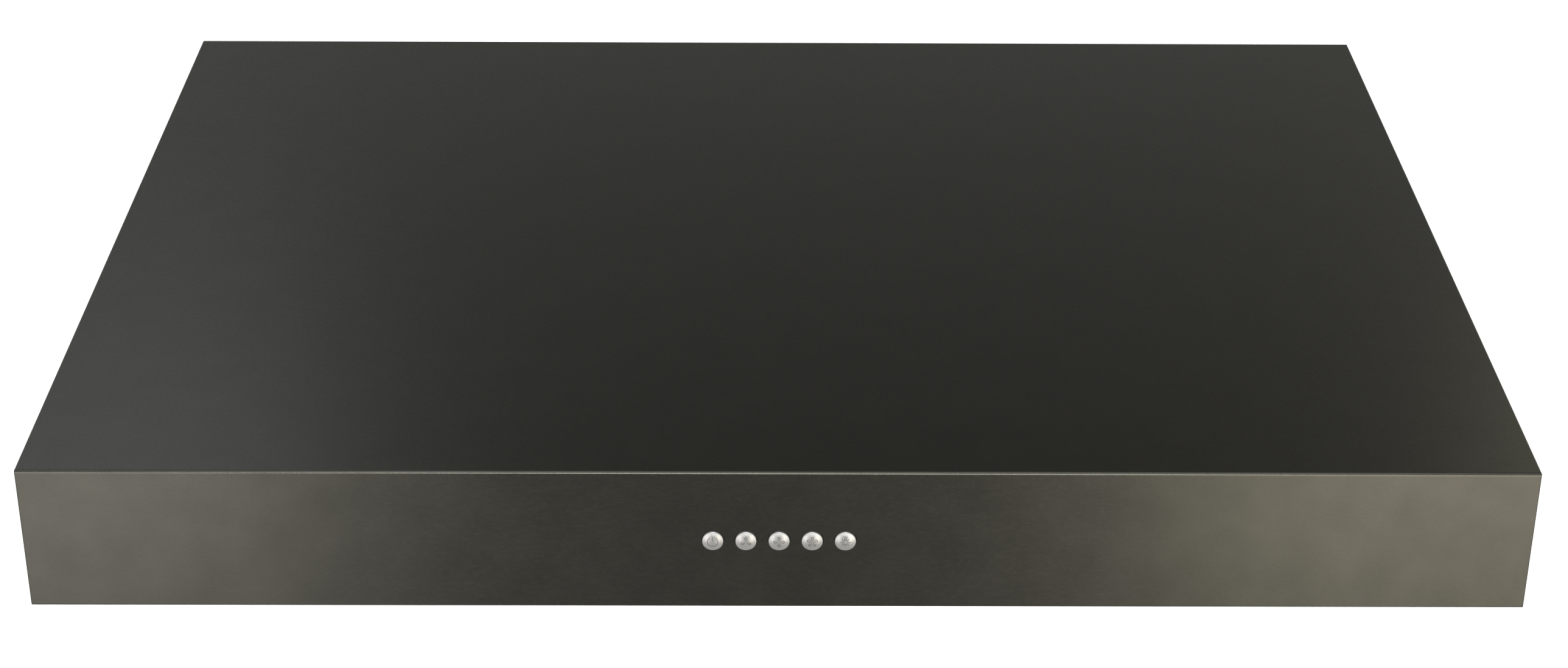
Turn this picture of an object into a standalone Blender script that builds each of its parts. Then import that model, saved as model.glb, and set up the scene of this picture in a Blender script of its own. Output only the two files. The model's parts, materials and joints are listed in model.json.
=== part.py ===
"""Under cabinet range hood, 30 inch class, as an assembly of separate pieces.

Metres. The origin is the centre of the top face, which seats against the cabinet. +X is to the
right of a person who faces the hood, +Y points to the wall and +Z is up.
"""

import math

import bmesh
import bpy
from mathutils import Matrix, Vector

# Canopy
WIDTH = 0.756
DEPTH = 0.559
LIP = 0.079
BACK_HEIGHT = 0.165
SHEET = 0.0012
GAP = 0.0003
BEND = 0.0022
INNER_BEND = 0.0005
HEM = 0.015
SLOPE_FRONT = -0.190
SLOPE_BACK = 0.205
FRONT = -DEPTH / 2
WALL = DEPTH / 2
SLOPE = math.atan2(BACK_HEIGHT - LIP, SLOPE_BACK - SLOPE_FRONT)

# Push buttons
BUTTON_NAMES = ("button_power", "button_low", "button_medium", "button_high", "button_light")
BUTTON_R = 0.005375
BUTTON_HOLE_R = 0.0064
BUTTON_PITCH = 0.0166
BUTTON_Z = -0.0395
BUTTON_PROUD = 0.0020
SWITCH_FRONT = FRONT + SHEET + GAP + SHEET + GAP
SWITCH_DEPTH = 0.022

# Duct connector, the common 3 1/4 by 10 inch size
DUCT_W = 0.254
DUCT_H = 0.08255
DUCT_TOP = -0.022
DUCT_LENGTH = 0.038
DUCT_SHEET = 0.0010
DUCT_FLANGE = 0.012
FLANGE_BACK = WALL - SHEET - GAP
DAMPER_AXIS_Y = WALL + 0.006
DAMPER_AXIS_Z = DUCT_TOP - DUCT_SHEET - 0.0042

# Blower
BLOWER_X = -0.090
BLOWER_Y = 0.040
SCROLL_TOP = -0.006
SCROLL_BOTTOM = -0.073
SCROLL_SMALL_R = 0.118
SCROLL_LARGE_R = 0.160
TONGUE_X = 0.0305
SCROLL_OUT_Y = BLOWER_Y + 0.145
BLADES = 24
BLADE_IN_R = 0.086
BLADE_OUT_R = 0.103
IMPELLER_TOP = -0.0125
IMPELLER_BOTTOM = -0.068
HUB_Z = -0.048
SHAFT_R = 0.004
SHAFT_END = -0.062
MOTOR_END = -0.042

# Underside
LINER = 0.0010
LINER_INSET = SHEET + GAP
FILTER_W = 0.345
FILTER_L = 0.366
FILTER_X = 0.1785
FILTER_H = 0.015
FILTER_REAR_S = 0.388
FILTER_RIM = 0.014
FILTER_BACK_GAP = 0.0025
LATCH_ROOM = 0.0122
HINGE_N = 0.0034
BAFFLES = 9
BAFFLE_PITCH = 0.038
BAFFLE_W = 0.026
BAFFLE_T = 0.0006
LAMP_X = 0.240
LAMP_Y = -0.2272
LAMP_R = 0.034
TRAY_W = 0.690
TRAY_FRONT = 0.2135
TRAY_BACK = 0.2585
TRAY_H = 0.014

# Electrical box
BOX_LOW = (0.190, 0.090, -0.046)
BOX_HIGH = (0.330, 0.200, -0.0045)
GLAND_X = 0.270
GLAND_Z = -0.045
LEAD_R = 0.0018


def clear_scene():
    for obj in list(bpy.data.objects):
        bpy.data.objects.remove(obj, do_unlink=True)


def material(name, colour, roughness, metallic=0.0, alpha=1.0):
    found = bpy.data.materials.get(name)
    if found:
        return found
    made = bpy.data.materials.new(name)
    made.use_nodes = True
    shader = made.node_tree.nodes["Principled BSDF"]
    shader.inputs["Base Color"].default_value = (*colour, 1.0)
    shader.inputs["Roughness"].default_value = roughness
    shader.inputs["Metallic"].default_value = metallic
    shader.inputs["Alpha"].default_value = alpha
    return made


def black_stainless():
    return material("black_stainless", (0.075, 0.073, 0.066), 0.34, 1.0)


def galvanised():
    return material("galvanised_steel", (0.52, 0.53, 0.54), 0.42, 1.0)


def stainless():
    return material("stainless", (0.60, 0.60, 0.59), 0.30, 1.0)


def button_metal():
    return material("button_satin", (0.72, 0.72, 0.70), 0.28, 0.8)


def black_plastic():
    return material("black_plastic", (0.025, 0.025, 0.027), 0.5)


def white_plastic():
    return material("white_plastic", (0.75, 0.74, 0.70), 0.5)


def rubber():
    return material("rubber", (0.03, 0.03, 0.03), 0.8)


def motor_steel():
    return material("motor_steel", (0.30, 0.31, 0.33), 0.4, 1.0)


def circuit_green():
    return material("circuit_board", (0.03, 0.16, 0.07), 0.45)


def lamp_glass():
    return material("lamp_glass", (0.90, 0.90, 0.88), 0.35, 0.0, 0.9)


def capacitor_sleeve():
    return material("capacitor_sleeve", (0.70, 0.70, 0.68), 0.45)


def finish(bm, name, stuff, origin=(0, 0, 0), smooth_angle=None):
    """The object of this bmesh, whose points are measured from the origin."""
    bmesh.ops.recalc_face_normals(bm, faces=bm.faces[:])
    mesh = bpy.data.meshes.new(name)
    bm.to_mesh(mesh)
    bm.free()
    if smooth_angle:
        mesh.shade_smooth()
        mesh.set_sharp_from_angle(angle=math.radians(smooth_angle))
    obj = bpy.data.objects.new(name, mesh)
    obj.location = origin
    bpy.context.scene.collection.objects.link(obj)
    if stuff:
        mesh.materials.append(stuff)
    return obj


def cutter_of(bm, name):
    obj = finish(bm, name, None)
    obj.hide_render = True
    obj.display_type = "WIRE"
    return obj


def boolean(obj, other, operation="DIFFERENCE"):
    step = obj.modifiers.new(other.name, "BOOLEAN")
    step.operation = operation
    step.object = other
    step.solver = "EXACT"


def prism(outline, axis, start, end):
    """An outline of two coordinates, in X, Y, Z order without the axis, extruded along the axis."""
    bm = bmesh.new()
    add_prism(bm, outline, axis, start, end)
    return bm


def add_prism(bm, outline, axis, start, end):
    def place(pair, along):
        point = list(pair)
        point.insert(axis, along)
        return point

    first = [bm.verts.new(place(pair, start)) for pair in outline]
    last = [bm.verts.new(place(pair, end)) for pair in outline]
    bm.faces.new(first)
    bm.faces.new(last[::-1])
    count = len(outline)
    for i in range(count):
        following = (i + 1) % count
        bm.faces.new((first[following], first[i], last[i], last[following]))


def add_box(bm, low, high):
    corners = [(low[0], low[1]), (high[0], low[1]), (high[0], high[1]), (low[0], high[1])]
    add_prism(bm, corners, 2, low[2], high[2])


def box(low, high):
    bm = bmesh.new()
    add_box(bm, low, high)
    return bm


def circle(radius, steps, centre=(0.0, 0.0), turn=0.0):
    angles = [turn + 2 * math.pi * i / steps for i in range(steps)]
    return [(centre[0] + radius * math.cos(a), centre[1] + radius * math.sin(a)) for a in angles]


def ring(profile, steps):
    """A closed profile of (radius, height) pairs, clear of the axis, turned about Z."""
    bm = bmesh.new()
    loops = []
    for i in range(steps):
        a = 2 * math.pi * i / steps
        loops.append([bm.verts.new((r * math.cos(a), r * math.sin(a), z)) for r, z in profile])
    count = len(profile)
    for i in range(steps):
        here, there = loops[i], loops[(i + 1) % steps]
        for j in range(count):
            k = (j + 1) % count
            bm.faces.new((here[j], there[j], there[k], here[k]))
    return bm


def turned(profile, steps):
    """A profile of (radius, height) pairs, both ends on the axis, turned about Z."""
    bm = bmesh.new()
    top = bm.verts.new((0, 0, profile[0][1]))
    bottom = bm.verts.new((0, 0, profile[-1][1]))
    loops = []
    for i in range(steps):
        a = 2 * math.pi * i / steps
        inner = profile[1:-1]
        loops.append([bm.verts.new((r * math.cos(a), r * math.sin(a), z)) for r, z in inner])
    for i in range(steps):
        here, there = loops[i], loops[(i + 1) % steps]
        bm.faces.new((top, here[0], there[0]))
        bm.faces.new((bottom, there[-1], here[-1]))
        for j in range(len(here) - 1):
            bm.faces.new((here[j], here[j + 1], there[j + 1], there[j]))
    return bm


def move(bm, matrix):
    bmesh.ops.transform(bm, matrix=matrix, verts=bm.verts[:])
    return bm


def smooth_path(points, spacing):
    """Points about this far apart along a smooth curve through the given ones."""
    knots = [Vector(p) for p in points]
    knots = [2 * knots[0] - knots[1]] + knots + [2 * knots[-1] - knots[-2]]
    path = []
    for i in range(1, len(knots) - 2):
        before, start, end, after = knots[i - 1 : i + 3]
        steps = max(2, round((end - start).length / spacing))
        for s in range(steps):
            t = s / steps
            linear = (end - before) * t
            square = (2 * before - 5 * start + 4 * end - after) * t**2
            cube = (3 * start - before - 3 * end + after) * t**3
            path.append(start + 0.5 * (linear + square + cube))
    path.append(knots[-2])
    return path


def rod(name, points, radius, stuff, resolution=2, origin=(0, 0, 0), closed=False):
    curve = bpy.data.curves.new(name, "CURVE")
    curve.dimensions = "3D"
    curve.bevel_depth = radius
    curve.bevel_resolution = resolution
    curve.use_fill_caps = True
    spline = curve.splines.new("POLY")
    spline.points.add(len(points) - 1)
    for point, place in zip(spline.points, points):
        point.co = (*place, 1.0)
    spline.use_smooth = True
    spline.use_cyclic_u = closed
    curve.materials.append(stuff)
    obj = bpy.data.objects.new(name, curve)
    obj.location = origin
    bpy.context.scene.collection.objects.link(obj)
    return obj


# ---------------------------------------------------------------- canopy and panels


def side_outline(inset, back):
    """The hood's side profile as (Y, Z) pairs, moved inwards by inset, ending at back."""
    kink = inset * math.tan(SLOPE / 2)
    return [
        (FRONT + inset, -inset),
        (FRONT + inset, -LIP + inset),
        (SLOPE_FRONT + kink, -LIP + inset),
        (SLOPE_BACK + kink, -BACK_HEIGHT + inset),
        (back, -BACK_HEIGHT + inset),
        (back, -inset),
    ]


def folded_form(inset, back, radius):
    """A solid of the hood's outside or inside, with its bends rounded."""
    half = WIDTH / 2 - inset
    bm = prism(side_outline(inset, back), 0, -half, half)
    bends = []
    for edge in bm.edges:
        a, b = (v.co for v in edge.verts)
        crosses = abs(a.x - b.x) > 0.1
        at_front = max(a.y, b.y) < FRONT + inset + 1e-5
        at_back = min(a.y, b.y) > back - 1e-5
        if at_back or (crosses and not at_front):
            continue
        bends.append(edge)
    bmesh.ops.bevel(bm, geom=bends, offset=radius, segments=3, profile=0.5, affect="EDGES")
    return bm


def button_places():
    return [(i - 2) * BUTTON_PITCH for i in range(len(BUTTON_NAMES))]


def canopy_shell():
    shell = finish(folded_form(0.0, WALL, BEND), "canopy_shell", black_stainless())
    hollow = folded_form(SHEET, WALL + 0.02, INNER_BEND)
    boolean(shell, cutter_of(hollow, "canopy_hollow_cut"))
    half = WIDTH / 2 - HEM
    mouth = box((-half, FRONT + HEM, -0.2), (half, WALL + 0.01, -0.03))
    boolean(shell, cutter_of(mouth, "canopy_mouth_cut"))
    holes = bmesh.new()
    for x in button_places():
        add_prism(holes, circle(BUTTON_HOLE_R, 24, (x, BUTTON_Z)), 1, FRONT - 0.01, FRONT + 0.01)
    boolean(shell, cutter_of(holes, "button_holes_cut"))


def keyhole(x, z):
    """The outline of a round hole with a narrower slot above it."""
    r = 0.006
    half_slot = 0.003
    first = math.pi - math.acos(half_slot / r)
    sweep = math.pi + 2 * math.acos(half_slot / r)
    angles = [first + sweep * i / 14 for i in range(15)]
    outline = [(x + r * math.cos(a), z + r * math.sin(a)) for a in angles]
    return outline + [(x + half_slot, z + 0.014), (x - half_slot, z + 0.014)]


def back_panel():
    top = -SHEET - GAP
    bottom = -BACK_HEIGHT + SHEET + GAP
    flange = WALL - 0.015
    inner = WALL - SHEET
    outline = [
        (WALL, top),
        (WALL, bottom),
        (flange, bottom),
        (flange, bottom + SHEET),
        (inner, bottom + SHEET),
        (inner, top - SHEET),
        (flange, top - SHEET),
        (flange, top),
    ]
    half = WIDTH / 2 - SHEET - GAP
    panel = finish(prism(outline, 0, -half, half), "back_panel", black_stainless())
    room = 0.00075
    low = (-DUCT_W / 2 - room, inner - 0.01, DUCT_TOP - DUCT_H - room)
    high = (DUCT_W / 2 + room, WALL + 0.01, DUCT_TOP + room)
    boolean(panel, cutter_of(box(low, high), "outlet_cut"))
    slots = bmesh.new()
    for x in (-0.330, -0.190, 0.190, 0.330):
        add_prism(slots, keyhole(x, -0.034), 1, WALL - 0.01, WALL + 0.01)
    boolean(panel, cutter_of(slots, "keyhole_cut"))
    entry = prism(circle(0.0105, 20, (GLAND_X, GLAND_Z)), 1, inner - 0.01, WALL + 0.01)
    boolean(panel, cutter_of(entry, "cable_entry_cut"))


def mounting_rail(name, side):
    outer = WIDTH / 2 - SHEET - GAP
    leg = 0.025
    thick = 0.0015
    top = -SHEET - GAP
    outline = [
        (outer, top),
        (outer, top - leg),
        (outer - thick, top - leg),
        (outer - thick, top - thick),
        (outer - leg, top - thick),
        (outer - leg, top),
    ]
    outline = [(side * x, z) for x, z in outline]
    finish(prism(outline, 1, -0.240, 0.240), name, galvanised())


def slope_matrix(along, normal):
    """A frame on the sloping underside: X across, Y towards the wall, Z off the surface."""
    turn = Matrix.Rotation(-SLOPE, 4, "X")
    return Matrix.Translation((0, SLOPE_FRONT, -LIP)) @ turn @ Matrix.Translation((0, along, normal))


def liner_pan():
    back = WALL - 0.015 - GAP
    lower = side_outline(LINER_INSET, back)[1:5]
    upper = side_outline(LINER_INSET + LINER, back)[1:5]
    upper[0] = (lower[0][0], upper[0][1])
    half = WIDTH / 2 - SHEET - GAP
    pan = finish(prism(lower + upper[::-1], 0, -half, half), "liner_pan", stainless())
    lamp_holes = bmesh.new()
    for side in (-1, 1):
        window = box(
            (side * FILTER_X - FILTER_W / 2 - 0.0015, -FILTER_L - FILTER_BACK_GAP - 0.0015, -0.02),
            (side * FILTER_X + FILTER_W / 2 + 0.0015, 0, 0.02),
        )
        move(window, slope_matrix(FILTER_REAR_S, 0))
        boolean(pan, cutter_of(window, f"filter_window_cut_{side}"))
        middle = (side * LAMP_X, LAMP_Y)
        add_prism(lamp_holes, circle(0.030, 24, middle), 2, -LIP - 0.01, -LIP + 0.01)
    boolean(pan, cutter_of(lamp_holes, "lamp_cut"))
    room = 0.0012
    low = (-TRAY_W / 2 - room, TRAY_FRONT - room, -BACK_HEIGHT - 0.01)
    high = (TRAY_W / 2 + room, TRAY_BACK + room, -BACK_HEIGHT + 0.01)
    boolean(pan, cutter_of(box(low, high), "tray_cut"))


# ---------------------------------------------------------------- blower


def scroll_outline(inset, beyond):
    """The volute seen from above: a growing spiral, then a straight throat towards the wall."""
    small = SCROLL_SMALL_R - inset
    first = math.acos((TONGUE_X + inset) / small)
    growth = (SCROLL_LARGE_R - SCROLL_SMALL_R) / (2 * math.pi - first)
    steps = 22
    points = []
    for i in range(steps + 1):
        a = first + (2 * math.pi - first) * i / steps
        r = small + growth * (a - first)
        points.append((BLOWER_X + r * math.cos(a), BLOWER_Y + r * math.sin(a)))
    points.append((BLOWER_X + SCROLL_LARGE_R - inset, SCROLL_OUT_Y + beyond))
    points.append((BLOWER_X + TONGUE_X + inset, SCROLL_OUT_Y + beyond))
    return points


def blower_scroll():
    form = prism(scroll_outline(0.0, 0.0), 2, SCROLL_BOTTOM, SCROLL_TOP)
    scroll = finish(form, "blower_scroll", galvanised(), smooth_angle=30)
    inside = prism(scroll_outline(0.001, 0.02), 2, SCROLL_BOTTOM - 0.01, SCROLL_TOP - 0.001)
    boolean(scroll, cutter_of(inside, "scroll_inside_cut"))
    lead_hole = prism(circle(0.005, 12, (BLOWER_X + 0.020, BLOWER_Y)), 2, -0.02, 0.0)
    boolean(scroll, cutter_of(lead_hole, "lead_hole_cut"))


def scroll_cover():
    top = SCROLL_BOTTOM - GAP
    cover = finish(prism(scroll_outline(0.0, 0.0), 2, top - 0.001, top), "scroll_cover", galvanised())
    eye = prism(circle(0.0897, 36, (BLOWER_X, BLOWER_Y)), 2, top - 0.01, top + 0.01)
    boolean(cover, cutter_of(eye, "inlet_cut"))


def inlet_ring():
    """The bell mouth: a flat flange under the cover that curls up into the eye of the impeller."""
    face = SCROLL_BOTTOM - GAP - 0.001 - GAP
    throat = 0.0895
    curl = [math.pi / 2 * i / 3 for i in range(4)]
    lip = IMPELLER_BOTTOM - 0.002
    profile = [(0.1040, face), (0.1040, face - 0.001)]
    profile += [(throat - 0.004 * math.sin(a), face + 0.003 - 0.004 * math.cos(a)) for a in curl]
    profile += [(throat - 0.004, lip), (throat - 0.003, lip)]
    profile += [(throat - 0.003 * math.sin(a), face + 0.003 - 0.003 * math.cos(a)) for a in curl[::-1]]
    place = (BLOWER_X, BLOWER_Y, 0)
    finish(ring(profile, 32), "inlet_ring", black_plastic(), place, smooth_angle=40)


def blade(index):
    """A forward-curved blade, as a thin arc seen from above."""
    start = 2 * math.pi * index / BLADES
    steps = 3
    lead = 0.20
    front, rear = [], []
    for i in range(steps + 1):
        t = i / steps
        r = BLADE_IN_R + (BLADE_OUT_R - BLADE_IN_R) * t
        a = start + lead * t * t
        half = 0.0005 / r
        front.append((r * math.cos(a + half), r * math.sin(a + half)))
        rear.append((r * math.cos(a - half), r * math.sin(a - half)))
    return front + rear[::-1]


def impeller():
    bore = SHAFT_R + 0.0003
    plate = IMPELLER_TOP - 0.0012
    profile = [
        (bore, HUB_Z),
        (bore, HUB_Z - 0.006),
        (0.0120, HUB_Z - 0.006),
        (0.0120, HUB_Z - 0.0012),
        (0.0500, HUB_Z - 0.0012),
        (0.0500, plate),
        (0.1040, plate),
        (0.1040, IMPELLER_TOP),
        (0.0488, IMPELLER_TOP),
        (0.0488, HUB_Z),
    ]
    place = (BLOWER_X, BLOWER_Y, 0)
    wheel = finish(ring(profile, 32), "impeller", black_plastic(), place, smooth_angle=40)
    vanes = bmesh.new()
    for index in range(BLADES):
        add_prism(vanes, blade(index), 2, IMPELLER_BOTTOM + 0.0006, IMPELLER_TOP - 0.0006)
    vanes = cutter_of(vanes, "impeller_blades")
    vanes.location = place
    boolean(wheel, vanes, "UNION")
    shroud = [(0.0890, IMPELLER_BOTTOM), (0.1040, IMPELLER_BOTTOM)]
    shroud += [(r, z + 0.0016) for r, z in shroud[::-1]]
    shroud = cutter_of(ring(shroud, 32), "impeller_shroud")
    shroud.location = place
    boolean(wheel, shroud, "UNION")


def motor():
    place = (BLOWER_X, BLOWER_Y, 0)
    plate_top = -0.0106
    plate = prism(circle(0.045, 24), 2, plate_top - 0.0012, plate_top)
    finish(plate, "motor_bracket", galvanised(), place)
    top = plate_top - 0.0012 - GAP
    end = MOTOR_END
    hole = SHAFT_R + 0.0003
    profile = [(0, top), (0.040, top), (0.042, top - 0.002), (0.042, end + 0.004)]
    profile += [(0.038, end), (hole, end), (hole, -0.020), (0, -0.020)]
    finish(turned(profile, 32), "motor_body", motor_steel(), place, smooth_angle=40)
    shaft = [(0, -0.0205), (SHAFT_R, -0.0205), (SHAFT_R, SHAFT_END + 0.001)]
    shaft += [(SHAFT_R - 0.0008, SHAFT_END), (0, SHAFT_END)]
    finish(turned(shaft, 16), "motor_shaft", stainless(), place, smooth_angle=40)
    nut_top = HUB_Z - 0.006 - GAP
    nut = finish(prism(circle(0.0075, 6), 2, nut_top - 0.006, nut_top), "impeller_nut", stainless(), place)
    thread = cutter_of(prism(circle(SHAFT_R + 0.0003, 16), 2, nut_top - 0.01, nut_top + 0.01), "nut_cut")
    thread.location = place
    boolean(nut, thread)
    for i in range(3):
        a = math.radians(90 + 120 * i)
        spot = (BLOWER_X + 0.036 * math.cos(a), BLOWER_Y + 0.036 * math.sin(a), 0)
        pad = prism(circle(0.006, 12), 2, plate_top + GAP, SCROLL_TOP - 0.001 - GAP)
        finish(pad, f"motor_isolator_{i + 1}", rubber(), spot, smooth_angle=40)


def transition_duct():
    """Widens from the volute's throat to the rectangular connector."""
    t = DUCT_SHEET
    y0 = SCROLL_OUT_Y + GAP
    y1 = FLANGE_BACK - DUCT_SHEET - GAP
    near = (BLOWER_X + TONGUE_X, BLOWER_X + SCROLL_LARGE_R, SCROLL_BOTTOM, SCROLL_TOP)
    far = (-DUCT_W / 2, DUCT_W / 2, DUCT_TOP - DUCT_H, DUCT_TOP)
    bm = bmesh.new()
    loops = []
    for (left, right, low, high), y, inset in ((near, y0, 0), (far, y1, 0), (far, y1, t), (near, y0, t)):
        left, right, low, high = left + inset, right - inset, low + inset, high - inset
        corners = ((left, low), (right, low), (right, high), (left, high))
        loops.append([bm.verts.new((x, y, z)) for x, z in corners])
    for i, here in enumerate(loops):
        there = loops[(i + 1) % 4]
        for j in range(4):
            k = (j + 1) % 4
            bm.faces.new((here[j], here[k], there[k], there[j]))
    finish(bm, "transition_duct", galvanised())


# ---------------------------------------------------------------- duct connector


def duct_collar():
    half = DUCT_W / 2
    bottom = DUCT_TOP - DUCT_H
    end = WALL + DUCT_LENGTH
    bm = box((-half, FLANGE_BACK - 0.0005, bottom), (half, end, DUCT_TOP))
    collar = finish(bm, "duct_collar", galvanised())
    w = DUCT_FLANGE
    plate = box((-half - w, FLANGE_BACK - DUCT_SHEET, bottom - w), (half + w, FLANGE_BACK, DUCT_TOP + w))
    boolean(collar, cutter_of(plate, "collar_flange"), "UNION")
    t = DUCT_SHEET
    low = (-half + t, FLANGE_BACK - 0.02, bottom + t)
    high = (half - t, end + 0.01, DUCT_TOP - t)
    boolean(collar, cutter_of(box(low, high), "collar_bore_cut"))
    stop = box(
        (-half + 0.0005, DAMPER_AXIS_Y - 0.0001, bottom + 0.0005),
        (half - 0.0005, DAMPER_AXIS_Y + 0.0011, bottom + t + 0.004),
    )
    boolean(collar, cutter_of(stop, "damper_stop"), "UNION")
    hinge = prism(circle(0.0018, 12, (DAMPER_AXIS_Y, DAMPER_AXIS_Z)), 0, -0.2, 0.2)
    boolean(collar, cutter_of(hinge, "damper_pin_cut"))
    screws = bmesh.new()
    for side in (-1, 1):
        spot = (side * (half + w / 2), DUCT_TOP - DUCT_H / 2)
        add_prism(screws, circle(0.0021, 12, spot), 1, FLANGE_BACK - 0.02, FLANGE_BACK + 0.001)
    boolean(collar, cutter_of(screws, "collar_screw_cut"))


def damper():
    place = (0, DAMPER_AXIS_Y, DAMPER_AXIS_Z)
    half = DUCT_W / 2
    pin = prism(circle(0.0015, 12), 0, -half - 0.0006, half + 0.0006)
    finish(pin, "damper_pin", stainless(), place, smooth_angle=40)
    inner = half - DUCT_SHEET
    height = DUCT_H - 2 * DUCT_SHEET - 0.0042 - 0.0020
    flap = finish(
        box((-inner + 0.0010, 0.0014, -height), (inner - 0.0010, 0.0022, 0.0)),
        "damper_flap",
        galvanised(),
        place,
    )
    knuckles = bmesh.new()
    for x in (-0.095, 0.0, 0.095):
        add_prism(knuckles, circle(0.0028, 12), 0, x - 0.012, x + 0.012)
    knuckles = cutter_of(knuckles, "flap_knuckles")
    knuckles.location = place
    boolean(flap, knuckles, "UNION")
    bore = cutter_of(prism(circle(0.0018, 12), 0, -0.2, 0.2), "flap_bore_cut")
    bore.location = place
    boolean(flap, bore)


def collar_screw(name, side):
    """A pan-head screw through the back panel into the collar's flange."""
    x = side * (DUCT_W / 2 + DUCT_FLANGE / 2)
    z = DUCT_TOP - DUCT_H / 2
    head = WALL + GAP
    profile = [(0, head + 0.0018), (0.0022, head + 0.0016), (0.0036, head + 0.0006), (0.0036, head)]
    profile += [(0.0017, head), (0.0017, FLANGE_BACK - 0.006), (0, FLANGE_BACK - 0.008)]
    turn = Matrix.Rotation(math.radians(-90), 4, "X")
    finish(move(turned(profile, 12), turn), name, stainless(), (x, 0, z), smooth_angle=40)


def screw_holes_in_back_panel():
    holes = bmesh.new()
    for side in (-1, 1):
        spot = (side * (DUCT_W / 2 + DUCT_FLANGE / 2), DUCT_TOP - DUCT_H / 2)
        add_prism(holes, circle(0.0021, 12, spot), 1, WALL - 0.005, WALL + 0.005)
    boolean(bpy.data.objects["back_panel"], cutter_of(holes, "panel_screw_cut"))


# ---------------------------------------------------------------- switches


def push_button(name, x):
    """A domed cap on a stem, its axis along Y, with the origin on the axis at the panel's face."""
    top = BUTTON_PROUD
    r = BUTTON_R
    profile = [(0, top), (0.45 * r, top - 0.0002), (0.80 * r, top - 0.0008), (r, top - 0.0018)]
    profile += [(r, -0.0060), (0.0035, -0.0060), (0.0035, -0.0130), (0, -0.0130)]
    turn = Matrix.Rotation(math.radians(90), 4, "X")
    bm = move(turned(profile, 20), turn)
    finish(bm, name, button_metal(), (x, FRONT, BUTTON_Z), smooth_angle=40)


def button_spring(name, x):
    turns = 3
    steps = 8
    radius = 0.0026
    start = FRONT + 0.0130 + GAP
    end = SWITCH_FRONT + SWITCH_DEPTH - 0.004 - GAP
    wire = 0.0003
    points = []
    for i in range(turns * steps + 1):
        a = 2 * math.pi * i / steps
        y = start + wire + (end - start - 2 * wire) * i / (turns * steps)
        points.append((x + radius * math.cos(a), y, BUTTON_Z + radius * math.sin(a)))
    rod(name, points, wire, stainless(), resolution=0)


def switches():
    for name, x in zip(BUTTON_NAMES, button_places()):
        push_button(name, x)
        button_spring(name.replace("button", "spring"), x)
    front = SWITCH_FRONT
    back = front + SWITCH_DEPTH
    low = (-0.046, front, BUTTON_Z - 0.009)
    body = finish(box(low, (0.046, back, BUTTON_Z + 0.009)), "switch_body", black_plastic())
    bores = bmesh.new()
    for x in button_places():
        add_prism(bores, circle(0.0062, 20, (x, BUTTON_Z)), 1, front - 0.01, back - 0.004)
    boolean(body, cutter_of(bores, "switch_bores_cut"))
    plate = front - GAP - SHEET
    outline = [
        (plate, BUTTON_Z + 0.0125),
        (plate, BUTTON_Z - 0.0125),
        (plate + 0.024, BUTTON_Z - 0.0125),
        (plate + 0.024, BUTTON_Z - 0.0113),
        (plate + SHEET, BUTTON_Z - 0.0113),
        (plate + SHEET, BUTTON_Z + 0.0113),
        (plate + 0.024, BUTTON_Z + 0.0113),
        (plate + 0.024, BUTTON_Z + 0.0125),
    ]
    bracket = finish(prism(outline, 0, -0.054, 0.054), "switch_bracket", galvanised())
    holes = bmesh.new()
    for x in button_places():
        add_prism(holes, circle(0.0064, 20, (x, BUTTON_Z)), 1, plate - 0.01, plate + 0.01)
    boolean(bracket, cutter_of(holes, "bracket_holes_cut"))
    low = (-0.050, back + GAP, BUTTON_Z - 0.0105)
    high = (0.050, back + GAP + 0.0016, BUTTON_Z + 0.0105)
    finish(box(low, high), "switch_board", circuit_green())


# ---------------------------------------------------------------- lamps


def lamp(side_name, side):
    place = (side * LAMP_X, LAMP_Y, 0)
    ceiling = -LIP + LINER_INSET
    bezel = [(0.0245, -LIP), (LAMP_R - 0.0015, -LIP), (LAMP_R, -LIP + 0.0006), (LAMP_R, ceiling - GAP)]
    bezel += [(0.0245, ceiling - GAP)]
    finish(ring(bezel, 28), f"lamp_bezel_{side_name}", stainless(), place, smooth_angle=40)
    low = -LIP + 0.0006
    lens = [(0, low + 0.0022), (0.0240, low + 0.0022), (0.0240, low + 0.0004), (0.0120, low), (0, low)]
    finish(turned(lens, 28), f"lamp_lens_{side_name}", lamp_glass(), place, smooth_angle=40)
    top = -0.0560
    rim = ceiling
    cup = [(0, top), (0.0265, top), (0.0285, top - 0.002), (0.0285, rim), (0.0273, rim)]
    cup += [(0.0273, top - 0.0025), (0, top - 0.0025)]
    finish(turned(cup, 28), f"lamp_housing_{side_name}", galvanised(), place, smooth_angle=40)


# ---------------------------------------------------------------- filters and tray


def filter_empty(side_name, side):
    """An empty on the filter's hinge axis, with Y along the slope and Z off its face."""
    empty = bpy.data.objects.new(f"filter_{side_name}_hinge", None)
    bpy.context.scene.collection.objects.link(empty)
    empty.matrix_world = slope_matrix(FILTER_REAR_S, HINGE_N) @ Matrix.Translation((side * FILTER_X, 0, 0))
    return empty


def put_under(obj, empty):
    obj.parent = empty
    return obj


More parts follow.
